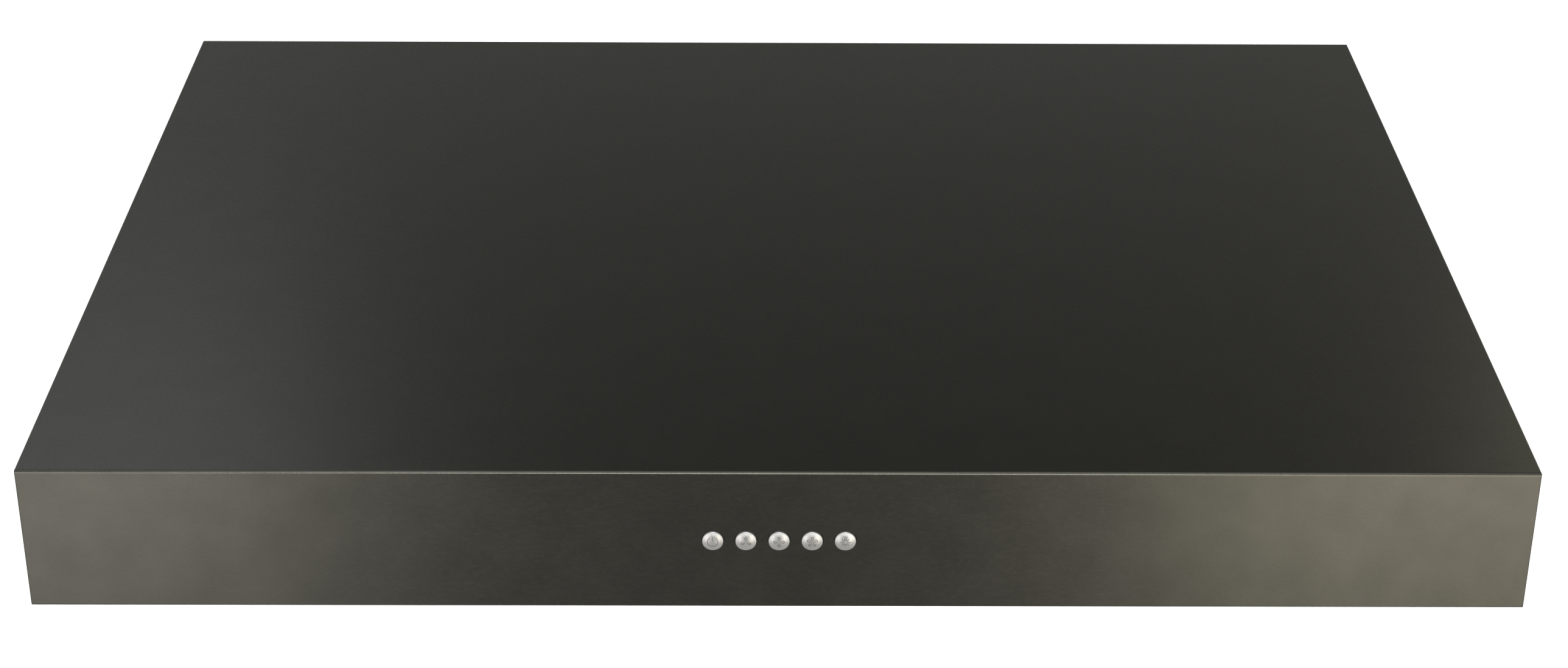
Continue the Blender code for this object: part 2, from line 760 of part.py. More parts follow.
def filter_assembly(side_name, side):
    empty = filter_empty(side_name, side)
    low_n = 0.0005 - HINGE_N
    high_n = low_n + FILTER_H
    rear = -FILTER_BACK_GAP
    front = rear - FILTER_L
    half = FILTER_W / 2
    t = 0.0010

    def cut(obj, bm, name, operation="DIFFERENCE"):
        boolean(obj, put_under(cutter_of(bm, f"{side_name}_{name}"), empty), operation)

    frame = finish(box((-half, front, low_n), (half, rear, high_n)), f"filter_frame_{side_name}", stainless())
    put_under(frame, empty)
    inside = box((-half + t, front + t, low_n + t), (half - t, rear - t, high_n - t))
    cut(frame, inside, "channel_cut")
    rim = FILTER_RIM
    window = box((-half + rim, front + rim, low_n - 0.01), (half - rim, rear - rim, high_n + 0.01))
    cut(frame, window, "window_cut")
    tabs = bmesh.new()
    for x in (-0.110, 0.110):
        add_box(tabs, (x - 0.015, rear - 0.0005, -0.0006), (x + 0.015, 0.0080, 0.0006))
    cut(frame, tabs, "rear_tabs", "UNION")
    slots = bmesh.new()
    add_box(slots, (-0.0065, front - 0.01, -0.0018), (0.0065, front + 0.005, 0.0018))
    cut(frame, slots, "nose_slot_cut")
    knob_slot = box((-0.0055, front + 0.0011, low_n - 0.01), (0.0055, front + 0.0118, low_n + 0.005))
    cut(frame, knob_slot, "knob_slot_cut")

    baffles(side_name, empty, low_n + t + GAP, high_n - t - GAP, front + LATCH_ROOM, rear - t - GAP)
    filter_latch(side_name, empty, front, low_n)
    filter_handle(side_name, empty, front, low_n)


def channel(middle, low, high, opens_up):
    """A shallow C section of bent sheet, as (X, N) pairs."""
    w = BAFFLE_W / 2
    t = BAFFLE_T
    lip = 0.0045
    depth = high - low
    half = [(w - lip, depth), (w, depth), (w, 0)]
    inner = [(w - t, t), (w - t, depth - t), (w - lip, depth - t)]
    outline = half + [(-x, n) for x, n in half[::-1]]
    outline += [(-x, n) for x, n in inner[::-1]] + inner
    if opens_up:
        return [(middle + x, low + n) for x, n in outline]
    return [(middle + x, high - n) for x, n in outline]


def baffles(side_name, empty, low, high, front, rear):
    """Two rows of channels that face each other, held by a strip along each end."""
    strips = bmesh.new()
    half = FILTER_W / 2 - 0.0010 - GAP
    for y in (front, rear - 0.0012):
        add_box(strips, (-half, y, low), (half, y + 0.0012, high))
    obj = finish(strips, f"filter_baffles_{side_name}", stainless())
    put_under(obj, empty)
    rows = bmesh.new()
    height = 0.0052
    for i in range(BAFFLES):
        middle = (i - (BAFFLES - 1) / 2) * BAFFLE_PITCH
        add_prism(rows, channel(middle, low + 0.0002, low + height, True), 1, front + 0.0006, rear - 0.0006)
        if i < BAFFLES - 1:
            upper = channel(middle + BAFFLE_PITCH / 2, high - height, high - 0.0002, False)
            add_prism(rows, upper, 1, front + 0.0006, rear - 0.0006)
    boolean(obj, put_under(cutter_of(rows, f"{side_name}_baffle_rows"), empty), "UNION")


def filter_latch(side_name, empty, front, low_n):
    """A sprung nose that presses on the window's front edge, with a finger knob below it."""
    start = front - 0.0010
    bm = bmesh.new()
    add_box(bm, (-0.0060, start, -0.0012), (0.0060, front + 0.0068, 0.0012))
    latch = finish(bm, f"filter_latch_{side_name}", black_plastic())
    put_under(latch, empty)
    stem = box((-0.0050, front + 0.0015, low_n - 0.0075), (0.0050, front + 0.0064, 0.0006))
    boolean(latch, put_under(cutter_of(stem, f"{side_name}_latch_stem"), empty), "UNION")


def filter_handle(side_name, empty, front, low_n):
    """A bent rod under the front rail, spanning the latch."""
    r = 0.0025
    y = front + 0.0080
    top = low_n - GAP
    drop = 0.022
    bend = 0.007
    half = 0.045
    points = [(-half, y, top), (-half, y, top - drop + bend)]
    for i in range(1, 4):
        a = math.pi / 2 * i / 3
        points.append((-half + bend * (1 - math.cos(a)), y, top - drop + bend * (1 - math.sin(a))))
    points += [(-x, y_, n) for x, y_, n in points[::-1]]
    put_under(rod(f"filter_handle_{side_name}", points, r, stainless()), empty)


def grease_tray():
    low_z = -BACK_HEIGHT + 0.0003
    middle = (TRAY_FRONT + TRAY_BACK) / 2
    half_w = TRAY_W / 2
    half_d = (TRAY_BACK - TRAY_FRONT) / 2
    place = (0, middle, low_z)
    tray = finish(box((-half_w, -half_d, 0), (half_w, half_d, TRAY_H)), "grease_tray", stainless(), place)
    t = 0.0008
    inside = cutter_of(box((-half_w + t, -half_d + t, t), (half_w - t, half_d - t, 0.03)), "tray_inside_cut")
    inside.location = place
    boolean(tray, inside)


# ---------------------------------------------------------------- electrical parts


def electrical_box():
    low, high = BOX_LOW, BOX_HIGH
    t = SHEET
    shell = finish(box(low, high), "control_box", galvanised())
    inside = box((low[0] + t, low[1] + t, low[2] - 0.01), (high[0] - t, high[1] - t, high[2] - t))
    boolean(shell, cutter_of(inside, "control_box_cut"))
    top = low[2] - GAP
    finish(box((low[0], low[1], top - t), (high[0], high[1], top)), "control_box_cover", galvanised())
    ceiling = high[2] - t - GAP
    turn = Matrix.Rotation(math.radians(90), 4, "Y")
    can = [(0, 0.025), (0.0130, 0.025), (0.0145, 0.0235), (0.0145, -0.025), (0, -0.025)]
    spot = (low[0] + 0.034, high[1] - 0.024, ceiling - 0.0148)
    finish(move(turned(can, 20), turn), "run_capacitor", capacitor_sleeve(), spot, smooth_angle=40)
    start = (low[0] + 0.008, low[1] + 0.010, ceiling - 0.022)
    end = (start[0] + 0.060, start[1] + 0.034, ceiling)
    finish(box(start, end), "led_driver", white_plastic())
    terminal_block((high[0] - 0.040, high[1] - 0.050, ceiling))


def terminal_block(corner):
    """A comb of wire clamps, with a wall between each pair."""
    x, y, top = corner
    block = finish(box((x, y, top - 0.010), (x + 0.030, y + 0.036, top)), "terminal_block", white_plastic())
    walls = bmesh.new()
    for i in range(4):
        start = y + i * (0.036 - 0.0015) / 3
        add_box(walls, (x + 0.004, start, top - 0.016), (x + 0.026, start + 0.0015, top - 0.009))
    boolean(block, cutter_of(walls, "terminal_walls"), "UNION")


def cable_gland():
    """A threaded strain relief through the back panel, with its flat nut outside."""
    profile = [
        (0.0055, -0.016),
        (0.0100, -0.016),
        (0.0100, 0.0008),
        (0.0135, 0.0008),
        (0.0135, 0.0060),
        (0.0110, 0.0090),
        (0.0110, 0.0140),
        (0.0055, 0.0140),
    ]
    turn = Matrix.Rotation(math.radians(-90), 4, "X")
    bm = move(ring(profile, 20), turn)
    finish(bm, "cable_gland", black_plastic(), (GLAND_X, WALL, GLAND_Z), smooth_angle=40)


def leads():
    spacing = 0.011
    board_back = SWITCH_FRONT + SWITCH_DEPTH + GAP + 0.0016 + 2 * GAP
    box_front = BOX_LOW[1] - 2 * GAP
    lamp_top = -0.0560 + 2 * GAP
    routes = {
        "switch_lead": [
            (0.030, board_back, -0.0395),
            (0.030, board_back + 0.010, -0.0395),
            (0.040, -0.220, -0.030),
            (0.090, -0.198, -0.018),
            (0.160, -0.185, -0.012),
            (0.208, -0.130, -0.011),
            (0.220, 0.000, -0.012),
            (0.225, 0.060, -0.021),
            (0.225, box_front - 0.012, -0.022),
            (0.225, box_front, -0.022),
        ],
        "lamp_lead_left": [
            (-LAMP_X, LAMP_Y, lamp_top),
            (-LAMP_X, LAMP_Y, lamp_top + 0.010),
            (-LAMP_X + 0.025, LAMP_Y + 0.012, -0.028),
            (-0.150, -0.190, -0.014),
            (0.000, -0.176, -0.010),
            (0.110, -0.172, -0.024),
            (0.180, -0.196, -0.032),
            (LAMP_X - 0.030, LAMP_Y + 0.008, -0.034),
            (LAMP_X - 0.012, LAMP_Y, lamp_top + 0.012),
            (LAMP_X - 0.010, LAMP_Y, lamp_top),
        ],
        "lamp_lead_right": [
            (LAMP_X + 0.008, LAMP_Y, lamp_top),
            (LAMP_X + 0.008, LAMP_Y, lamp_top + 0.010),
            (LAMP_X + 0.014, LAMP_Y + 0.030, -0.026),
            (0.262, -0.130, -0.012),
            (0.262, 0.000, -0.012),
            (0.260, 0.060, -0.021),
            (0.260, box_front - 0.012, -0.022),
            (0.260, box_front, -0.022),
        ],
        "motor_lead": [
            (BLOWER_X + 0.020, BLOWER_Y, -0.0098),
            (BLOWER_X + 0.020, BLOWER_Y, -0.0072),
            (BLOWER_X + 0.026, BLOWER_Y - 0.002, -0.0038),
            (-0.020, 0.010, -0.0036),
            (0.070, 0.000, -0.0040),
            (0.140, 0.010, -0.0120),
            (0.185, 0.036, -0.0200),
            (0.204, 0.066, -0.0220),
            (0.206, box_front - 0.008, -0.0220),
            (0.206, box_front, -0.0220),
        ],
    }
    for name, points in routes.items():
        rod(name, smooth_path(points, spacing), LEAD_R, black_plastic())


def main():
    clear_scene()
    canopy_shell()
    back_panel()
    mounting_rail("mounting_rail_left", -1)
    mounting_rail("mounting_rail_right", 1)
    liner_pan()
    blower_scroll()
    scroll_cover()
    inlet_ring()
    impeller()
    motor()
    transition_duct()
    duct_collar()
    damper()
    collar_screw("collar_screw_left", -1)
    collar_screw("collar_screw_right", 1)
    screw_holes_in_back_panel()
    switches()
    for side_name, side in (("left", -1), ("right", 1)):
        lamp(side_name, side)
        filter_assembly(side_name, side)
    grease_tray()
    electrical_box()
    cable_gland()
    leads()


main()
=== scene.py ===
"""The looks of the under cabinet range hood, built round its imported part. Metres, in the part's frame."""

import json
from math import acos, atan2, cos, degrees, pi, radians, sin, sqrt, tan

import bmesh
import bpy
from mathutils import Matrix, Vector


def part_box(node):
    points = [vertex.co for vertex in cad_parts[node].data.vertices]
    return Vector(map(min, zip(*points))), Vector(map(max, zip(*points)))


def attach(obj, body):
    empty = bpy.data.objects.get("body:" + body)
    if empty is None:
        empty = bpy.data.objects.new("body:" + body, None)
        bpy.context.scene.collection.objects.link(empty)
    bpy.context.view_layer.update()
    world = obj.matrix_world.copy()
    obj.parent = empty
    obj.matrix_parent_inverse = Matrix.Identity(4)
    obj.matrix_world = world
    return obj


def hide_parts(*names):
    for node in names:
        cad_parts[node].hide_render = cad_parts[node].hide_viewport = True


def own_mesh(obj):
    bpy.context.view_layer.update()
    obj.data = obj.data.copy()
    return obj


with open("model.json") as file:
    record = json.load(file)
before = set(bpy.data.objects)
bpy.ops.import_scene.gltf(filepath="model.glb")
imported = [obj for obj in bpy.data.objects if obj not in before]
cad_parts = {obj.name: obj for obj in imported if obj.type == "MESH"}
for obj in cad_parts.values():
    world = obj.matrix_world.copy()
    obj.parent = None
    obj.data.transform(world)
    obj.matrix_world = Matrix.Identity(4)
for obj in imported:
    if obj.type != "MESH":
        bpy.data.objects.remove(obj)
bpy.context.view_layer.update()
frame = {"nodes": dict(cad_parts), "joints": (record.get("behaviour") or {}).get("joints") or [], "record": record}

# Canopy: its box comes from the part, and the folds that a box does not show repeat the part's values
SHELL_LOW, SHELL_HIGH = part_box("canopy_shell")
HALF = SHELL_HIGH.x
FRONT, WALL = SHELL_LOW.y, SHELL_HIGH.y
BACK_HEIGHT = -SHELL_LOW.z
LIP = 0.079
SHEET = 0.0012
GAP = 0.0003
FOLD = 0.0015
HEM = 0.015
SLOPE_FRONT = -0.19
SLOPE_BACK = 0.205
SLOPE = atan2(BACK_HEIGHT - LIP, SLOPE_BACK - SLOPE_FRONT)

# Push buttons
BUTTONS = ("power", "low", "medium", "high", "light")
BUTTON_R = 0.005375
HOLE_R = 0.00565
DOME_TOP = 0.00192
DOME_R = 0.013
ICON_HALF_LINE = 0.00021

# Duct connector, from its flange's box
COLLAR_LOW, COLLAR_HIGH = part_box("duct_collar")
COLLAR_FLANGE = 0.012
COLLAR_HALF = COLLAR_HIGH.x - COLLAR_FLANGE
COLLAR_TOP = COLLAR_HIGH.z - COLLAR_FLANGE
COLLAR_BOTTOM = COLLAR_LOW.z + COLLAR_FLANGE

# Grease filters, in the frame of their hinge
FILTER_LOW, FILTER_HIGH = -0.0029, 0.0121
FILTER_FRONT, FILTER_REAR = -0.3685, -0.0025
FILTER_HALF = 0.1725
FILTER_RIM = 0.014
FILTER_SHEET = 0.001

# The shaft's hole in the wheel and the motor
SHAFT_BORE = 0.0043

BODIES = frame["record"]["behaviour"]["bodies"]
SLOTS = {part["node"]: part["material_slot"] for part in frame["record"]["subparts"]}
QUARTER = [pi / 2 * i / 10 for i in range(11)]

# Turns that point a turned piece's Z out of the front, out of the back, across and down
OUT = Matrix.Rotation(radians(90), 4, "X")
BACK = Matrix.Rotation(radians(-90), 4, "X")
ACROSS = Matrix.Rotation(radians(90), 4, "Y")
DOWN = Matrix.Rotation(pi, 4, "X")

# Degrees up to which faces shade as one, and metres within which points count as level
SMOOTH = 35.0
LEVEL = 1e-6


# ---- meshes


def linked(name, data):
    obj = bpy.data.objects.new(name, data)
    bpy.context.scene.collection.objects.link(obj)
    return obj


def solid(name, bm, finishes=(), angle=SMOOTH):
    """An object of this closed bmesh, smooth except where its faces meet at more than the angle."""
    bmesh.ops.recalc_face_normals(bm, faces=bm.faces[:])
    mesh = bpy.data.meshes.new(name)
    bm.to_mesh(mesh)
    bm.free()
    obj = linked(name, mesh)
    for material in finishes if isinstance(finishes, (list, tuple)) else [finishes]:
        mesh.materials.append(material)
    smooth(obj, angle)
    return obj


def smooth(obj, angle=SMOOTH):
    obj.data.shade_smooth()
    obj.data.set_sharp_from_angle(angle=radians(angle))


def settle(obj):
    """Makes the object's modifiers into mesh."""
    graph = bpy.context.evaluated_depsgraph_get()
    mesh = bpy.data.meshes.new_from_object(obj.evaluated_get(graph))
    obj.modifiers.clear()
    obj.data = mesh


def carve(obj, bm, operation="DIFFERENCE", angle=SMOOTH):
    """Cuts the bmesh out of the object, or adds it with UNION."""
    other = solid("cutter", bm)
    step = obj.modifiers.new("carve", "BOOLEAN")
    step.operation = operation
    step.object = other
    step.solver = "EXACT"
    settle(obj)
    bpy.data.objects.remove(other)
    smooth(obj, angle)


def weighted(obj):
    """Flat faces keep flat shading beside their rounded edges."""
    step = obj.modifiers.new("weighted", "WEIGHTED_NORMAL")
    step.keep_sharp = True
    return obj


def add_prism(bm, outline, axis, start, end):
    def place(pair, along):
        point = list(pair)
        point.insert(axis, along)
        return point

    first = [bm.verts.new(place(pair, start)) for pair in outline]
    last = [bm.verts.new(place(pair, end)) for pair in outline]
    bm.faces.new(first)
    bm.faces.new(last[::-1])
    for i, j in closed_pairs(len(outline)):
        bm.faces.new((first[j], first[i], last[i], last[j]))


def prism(outline, axis, start, end):
    bm = bmesh.new()
    add_prism(bm, outline, axis, start, end)
    return bm


def closed_pairs(count):
    return [(i, (i + 1) % count) for i in range(count)]


def add_box(bm, low, high):
    corners = [(low[0], low[1]), (high[0], low[1]), (high[0], high[1]), (low[0], high[1])]
    add_prism(bm, corners, 2, low[2], high[2])


def box(low, high):
    bm = bmesh.new()
    add_box(bm, low, high)
    return bm


def circle(radius, steps, centre=(0.0, 0.0)):
    angles = [2 * pi * i / steps for i in range(steps)]
    return [(centre[0] + radius * cos(a), centre[1] + radius * sin(a)) for a in angles]


def lathe(bm, profile, steps, matrix=Matrix.Identity(4)):
    """A closed profile of (radius, height) pairs turned about Z. A radius of 0 is a point on the axis."""
    angles = [2 * pi * i / steps for i in range(steps)]
    loops = []
    for r, z in profile:
        if r == 0:
            loops.append([bm.verts.new(matrix @ Vector((0, 0, z)))] * steps)
            continue
        loops.append([bm.verts.new(matrix @ Vector((r * cos(a), r * sin(a), z))) for a in angles])
    open_ended = profile[0][0] == 0 and profile[-1][0] == 0
    pairs = closed_pairs(len(loops))
    for i, j in pairs[:-1] if open_ended else pairs:
        for k, m in closed_pairs(steps):
            corners = (loops[i][k], loops[i][m], loops[j][m], loops[j][k])
            unique = list(dict.fromkeys(corners))
            if len(unique) > 2:
                bm.faces.new(unique)


def turned(profile, steps, matrix=Matrix.Identity(4)):
    bm = bmesh.new()
    lathe(bm, profile, steps, matrix)
    return bm


def moved(bm, matrix):
    bmesh.ops.transform(bm, matrix=matrix, verts=bm.verts[:])
    return bm


def join(bm, other):
    """Adds the other bmesh's shells to this one."""
    added = bpy.data.meshes.new("added")
    other.to_mesh(added)
    other.free()
    bm.from_mesh(added)
    bpy.data.meshes.remove(added)


def join_around(bm, make, count, place=Matrix.Identity(4)):
    """Adds what make() gives this many times, evenly spaced about the place's Z."""
    for i in range(count):
        join(bm, moved(make(), place @ Matrix.Rotation(2 * pi * i / count, 4, "Z")))


def round_edges(bm, edges, width, segments):
    bmesh.ops.bevel(bm, geom=edges, offset=width, segments=segments, profile=0.5, affect="EDGES")


def level_edges(bm, axis):
    """The edges whose ends are level along this axis."""
    return [e for e in bm.edges if abs(e.verts[0].co[axis] - e.verts[1].co[axis]) < LEVEL]


def edges_at_or_below(bm, height):
    return [e for e in bm.edges if max(v.co.z for v in e.verts) < height + LEVEL]


# ---- materials


def texture(tree, kind, scale, stretch=(1, 1, 1), **sockets):
    """The first output of a texture node in the object's own coordinates."""
    place = tree.nodes.new("ShaderNodeTexCoord")
    mapping = tree.nodes.new("ShaderNodeMapping")
    mapping.inputs["Scale"].default_value = [scale * s for s in stretch]
    node = tree.nodes.new(kind)
    node.inputs["Scale"].default_value = 1.0
    for name, value in sockets.items():
        node.inputs[name.replace("_", " ")].default_value = value
    tree.links.new(place.outputs["Object"], mapping.inputs["Vector"])
    tree.links.new(mapping.outputs["Vector"], node.inputs["Vector"])
    return node.outputs[0]


def noise(tree, scale, detail, stretch=(1, 1, 1)):
    return texture(tree, "ShaderNodeTexNoise", scale, stretch, Detail=detail)


def remap(tree, value, low, high, from_low=0.3, from_high=0.7):
    node = tree.nodes.new("ShaderNodeMapRange")
    limits = {"From Min": from_low, "From Max": from_high, "To Min": low, "To Max": high}
    for name, number in limits.items():
        node.inputs[name].default_value = number
    tree.links.new(value, node.inputs["Value"])
    return node.outputs[0]


def blended(tree, factor, first, second):
    node = tree.nodes.new("ShaderNodeMix")
    node.data_type = "RGBA"
    node.inputs[6].default_value = (*first, 1)
    node.inputs[7].default_value = (*second, 1)
    tree.links.new(factor, node.inputs[0])
    return node.outputs[2]


def summed(tree, *values):
    total = values[0]
    for value in values[1:]:
        node = tree.nodes.new("ShaderNodeMath")
        tree.links.new(total, node.inputs[0])
        tree.links.new(value, node.inputs[1])
        total = node.outputs[0]
    return total


def finished(tree, shader, tone, dark, light, gloss, height, depth):
    """Gives the shader its tones, its gloss and a bump of this depth."""
    bump = tree.nodes.new("ShaderNodeBump")
    bump.inputs["Distance"].default_value = depth
    tree.links.new(height, bump.inputs["Height"])
    tree.links.new(bump.outputs[0], shader.inputs["Normal"])
    tree.links.new(blended(tree, tone, dark, light), shader.inputs["Base Color"])
    tree.links.new(gloss, shader.inputs["Roughness"])


def new_material(name, metallic):
    made = bpy.data.materials.new(name)
    made.use_nodes = True
    shader = made.node_tree.nodes["Principled BSDF"]
    shader.inputs["Metallic"].default_value = metallic
    return made, made.node_tree, shader


def sheet_metal(
    name, dark, light, roughness, axis, fineness=900.0, wave=0.0, length=0.05, metallic=1.0, edge=1.0
):
    """Rolled sheet: a grain along one axis, slow changes of tone, and a slight unevenness.

    Length is the grain's scale along its axis over its scale across. Wave is the height of the unevenness
    over that of the specks, and edge is the tint at grazing angles.
    """
    speck_scale, cloud_scale, wave_scale, speck_height = 2400.0, 40.0, 5.0, 0.000003
    made, tree, shader = new_material(name, metallic)
    shader.inputs["Specular Tint"].default_value = (edge, edge, edge, 1)
    stretch = [1.0, 1.0, 1.0]
    stretch[axis] = length
    lines = noise(tree, fineness, 3.0, stretch)
    specks = noise(tree, speck_scale, 2.0)
    clouds = noise(tree, cloud_scale, 4.0)
    waves = noise(tree, wave_scale, 1.0)
    tones = ((clouds, 0.5), (lines, 0.2), (specks, 0.3))
    tone = summed(tree, *(remap(tree, value, 0.0, share) for value, share in tones))
    heights = ((specks, 1.0), (lines, 0.4), (waves, wave))
    height = summed(tree, *(remap(tree, value, 0.0, share) for value, share in heights))
    finished(tree, shader, tone, dark, light, remap(tree, lines, *roughness), height, speck_height)
    return made


def moulded(name, dark, light, roughness, fineness=1500.0, depth=0.00002):
    """Plastic or rubber with a fine moulded grain."""
    made, tree, shader = new_material(name, 0.0)
    grain = noise(tree, fineness, 3.0)
    clouds = noise(tree, 30.0, 2.0)
    tone = summed(tree, remap(tree, clouds, 0.0, 0.6), remap(tree, grain, 0.0, 0.4))
    finished(tree, shader, tone, dark, light, remap(tree, grain, *roughness), grain, depth)
    return made


def zinc(name):
    """Galvanised sheet, with the faint spangle of its crystals."""
    made, tree, shader = new_material(name, 1.0)
    spangle = texture(tree, "ShaderNodeTexVoronoi", 180.0, Randomness=1.0)
    split = tree.nodes.new("ShaderNodeSeparateColor")
    tree.links.new(spangle.node.outputs["Color"], split.inputs[0])
    clouds = noise(tree, 14.0, 4.0)
    tone = summed(tree, remap(tree, split.outputs[0], 0.0, 0.5, 0.0, 1.0), remap(tree, clouds, 0.0, 0.5))
    gloss = remap(tree, split.outputs[1], 0.34, 0.48, 0.0, 1.0)
    finished(tree, shader, tone, (0.3, 0.31, 0.33), (0.46, 0.47, 0.48), gloss, spangle, 0.00003)
    return made


def frosted(name):
    """Pale glass with a fine ground face."""
    made, tree, shader = new_material(name, 0.0)
    grain = noise(tree, 1200.0, 3.0)
    gloss = remap(tree, grain, 0.25, 0.45)
    finished(tree, shader, grain, (0.8, 0.8, 0.77), (0.93, 0.93, 0.91), gloss, grain, 0.00004)
    shader.inputs["Coat Weight"].default_value = 0.4
    return made


BLACK = dict(
    dark=(0.0189, 0.0187, 0.016), light=(0.0248, 0.0243, 0.0209), roughness=(0.255, 0.285), wave=20.0,
    length=0.35,
)
SATIN = dict(dark=(0.24, 0.24, 0.235), light=(0.36, 0.36, 0.35), roughness=(0.24, 0.36), wave=30.0, edge=0.5)
CAP = dict(roughness=(0.28, 0.34), fineness=2600.0, length=0.5, metallic=0.7)
M = {
    "black_stainless": sheet_metal("black_stainless_across", axis=0, **BLACK),
    "black_sides": sheet_metal("black_stainless_sides", axis=1, **BLACK),
    "stainless": sheet_metal("satin_stainless", axis=0, **SATIN),
    "stainless_along": sheet_metal("satin_stainless_along", axis=1, **SATIN),
    "galvanised_steel": zinc("galvanised_steel"),
    "button_satin": sheet_metal("button_satin", (0.105, 0.105, 0.103), (0.135, 0.135, 0.132), axis=0, **CAP),
    "black_plastic": moulded("black_plastic", (0.014, 0.014, 0.015), (0.036, 0.036, 0.038), (0.4, 0.55)),
    "white_plastic": moulded("white_plastic", (0.62, 0.61, 0.57), (0.78, 0.77, 0.73), (0.35, 0.5)),
    "rubber": moulded("rubber", (0.01, 0.01, 0.01), (0.03, 0.03, 0.03), (0.65, 0.85), 700.0, 0.00005),
    "motor_steel": sheet_metal("motor_steel", (0.2, 0.21, 0.22), (0.36, 0.37, 0.39), (0.3, 0.45), 2, 500.0),
    "circuit_board": moulded("circuit_board", (0.008, 0.085, 0.03), (0.02, 0.17, 0.06), (0.25, 0.4), 300.0),
    "lamp_glass": frosted("lamp_glass"),
    "capacitor_sleeve": sheet_metal(
        "capacitor_can", (0.55, 0.55, 0.54), (0.74, 0.74, 0.72), (0.3, 0.42), 0, 700.0
    ),
    "lead_sleeve": moulded("lead_sleeve", (0.02, 0.02, 0.02), (0.055, 0.055, 0.055), (0.45, 0.6), 900.0),
    "icon_print": moulded(
        "icon_print", (0.02, 0.02, 0.019), (0.034, 0.034, 0.033), (0.45, 0.6), 4000.0, 0.000002
    ),
}
M["icon_print"].node_tree.nodes["Principled BSDF"].inputs["Specular IOR Level"].default_value = 0.25

for part in frame["record"]["subparts"]:
    node = frame["nodes"][part["node"]]
    node.data.materials.clear()
    node.data.materials.append(M[part["material_slot"]])


def put(obj, body, slot, *nodes):
    """Fixes a finished piece to its body and hides the nodes it stands for."""
    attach(obj, body)
    if nodes:
        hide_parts(*nodes)
    return obj


def piece(name, bm, body, slot, *nodes, angle=SMOOTH):
    return put(solid(name, bm, M[slot], angle), body, slot, *nodes)


def middle_of(node):
    low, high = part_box(node)
    return [(a + b) / 2 for a, b in zip(low, high)]


def upright(node):
    """The vertical through the node's middle, as a matrix."""
    x, y, _ = middle_of(node)
    return Matrix.Translation((x, y, 0))


def radius_of(node):
    low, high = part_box(node)
    return (high.x - low.x) / 2


def round_part(node):
    """The radius, bottom, top and axis of a round part that stands upright."""
    low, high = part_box(node)
    return radius_of(node), low.z, high.z, upright(node)


# ---- canopy


def side_outline(inset, back):
    """The hood's side profile as (Y, Z) pairs, moved inwards by inset, ending at back."""
    kink = inset * tan(SLOPE / 2)
    return [
        (FRONT + inset, -inset),
        (FRONT + inset, -LIP + inset),
        (SLOPE_FRONT + kink, -LIP + inset),
        (SLOPE_BACK + kink, -BACK_HEIGHT + inset),
        (back, -BACK_HEIGHT + inset),
        (back, -inset),
    ]


def folded_form(inset, back, radius, segments):
    """A solid of the hood's outside or inside: a soft fold at the front, and tighter ones at the sides."""
    half = HALF - inset
    top_fold, bottom_fold, side_fold, slack = 1.0, 0.7, 0.4, 1e-5
    bm = prism(side_outline(inset, back), 0, -half, half)
    weights = bm.edges.layers.float.new("bevel_weight_edge")
    for edge in bm.edges:
        a, b = (v.co for v in edge.verts)
        crosses = abs(a.x - b.x) > 0.1
        at_front = max(a.y, b.y) < FRONT + inset + slack
        at_back = min(a.y, b.y) > back - slack
        if at_back or (crosses and not at_front):
            continue
        above = min(a.z, b.z) > -inset - slack
        edge[weights] = (top_fold if above else bottom_fold) if crosses else side_fold
    form = solid("form", bm)
    step = form.modifiers.new("bend", "BEVEL")
    step.limit_method = "WEIGHT"
    step.width = radius
    step.segments = segments
    settle(form)
    bm = bmesh.new()
    bm.from_mesh(form.data)
    bpy.data.objects.remove(form)
    return bm


def button_centre(name):
    x, _, z = middle_of("button_" + name)
    return x, z


def facing_out(name):
    """The matrix whose Z runs out of the panel at this button's centre."""
    x, z = button_centre(name)
    return Matrix.Translation((x, FRONT, z)) @ OUT


def canopy():
    shell = solid("canopy", folded_form(0.0, WALL, FOLD, 10), (M["black_stainless"], M["black_sides"]))
    carve(shell, folded_form(SHEET, WALL + 0.02, FOLD - SHEET, 4))
    half = HALF - HEM
    carve(shell, box((-half, FRONT + HEM, -0.2), (half, WALL + 0.01, -0.03)))
    flare, start, end = 0.00022, -0.006, 0.002
    profile = [(0, start), (HOLE_R, start), (HOLE_R, -flare), (HOLE_R + 0.3 * flare, -0.3 * flare)]
    profile += [(HOLE_R + flare, 0.00002), (HOLE_R + flare, end), (0, end)]
    holes = bmesh.new()
    for name in BUTTONS:
        lathe(holes, profile, 72, facing_out(name))
    carve(shell, holes)
    for face in shell.data.polygons:
        face.material_index = 1 if abs(face.normal.x) > 0.75 else 0
    put(weighted(shell), "hood", "black_stainless", "canopy_shell")


# ---- push buttons and their icons


def dome(r):
    """The height of a cap's face at this distance from its middle."""
    return DOME_TOP - DOME_R + sqrt(DOME_R**2 - r * r)


def button_cap(name):
    shoulder, drop = 0.00485, 0.0005
    profile = [(shoulder * i / 14, dome(shoulder * i / 14)) for i in range(15)]
    for i in range(1, 9):
        a = pi / 2 * i / 8
        r = shoulder + (BUTTON_R - shoulder) * sin(a)
        profile.append((r, dome(shoulder) - drop * (1 - cos(a))))
    skirt, stem, end = -0.006, 0.0035, -0.013
    profile += [(BUTTON_R, skirt), (stem, skirt), (stem, end), (0, end)]
    bm = turned(profile, 64, facing_out(name))
    piece("cap_" + name, bm, name + "_button", "button_satin", "button_" + name, angle=50)


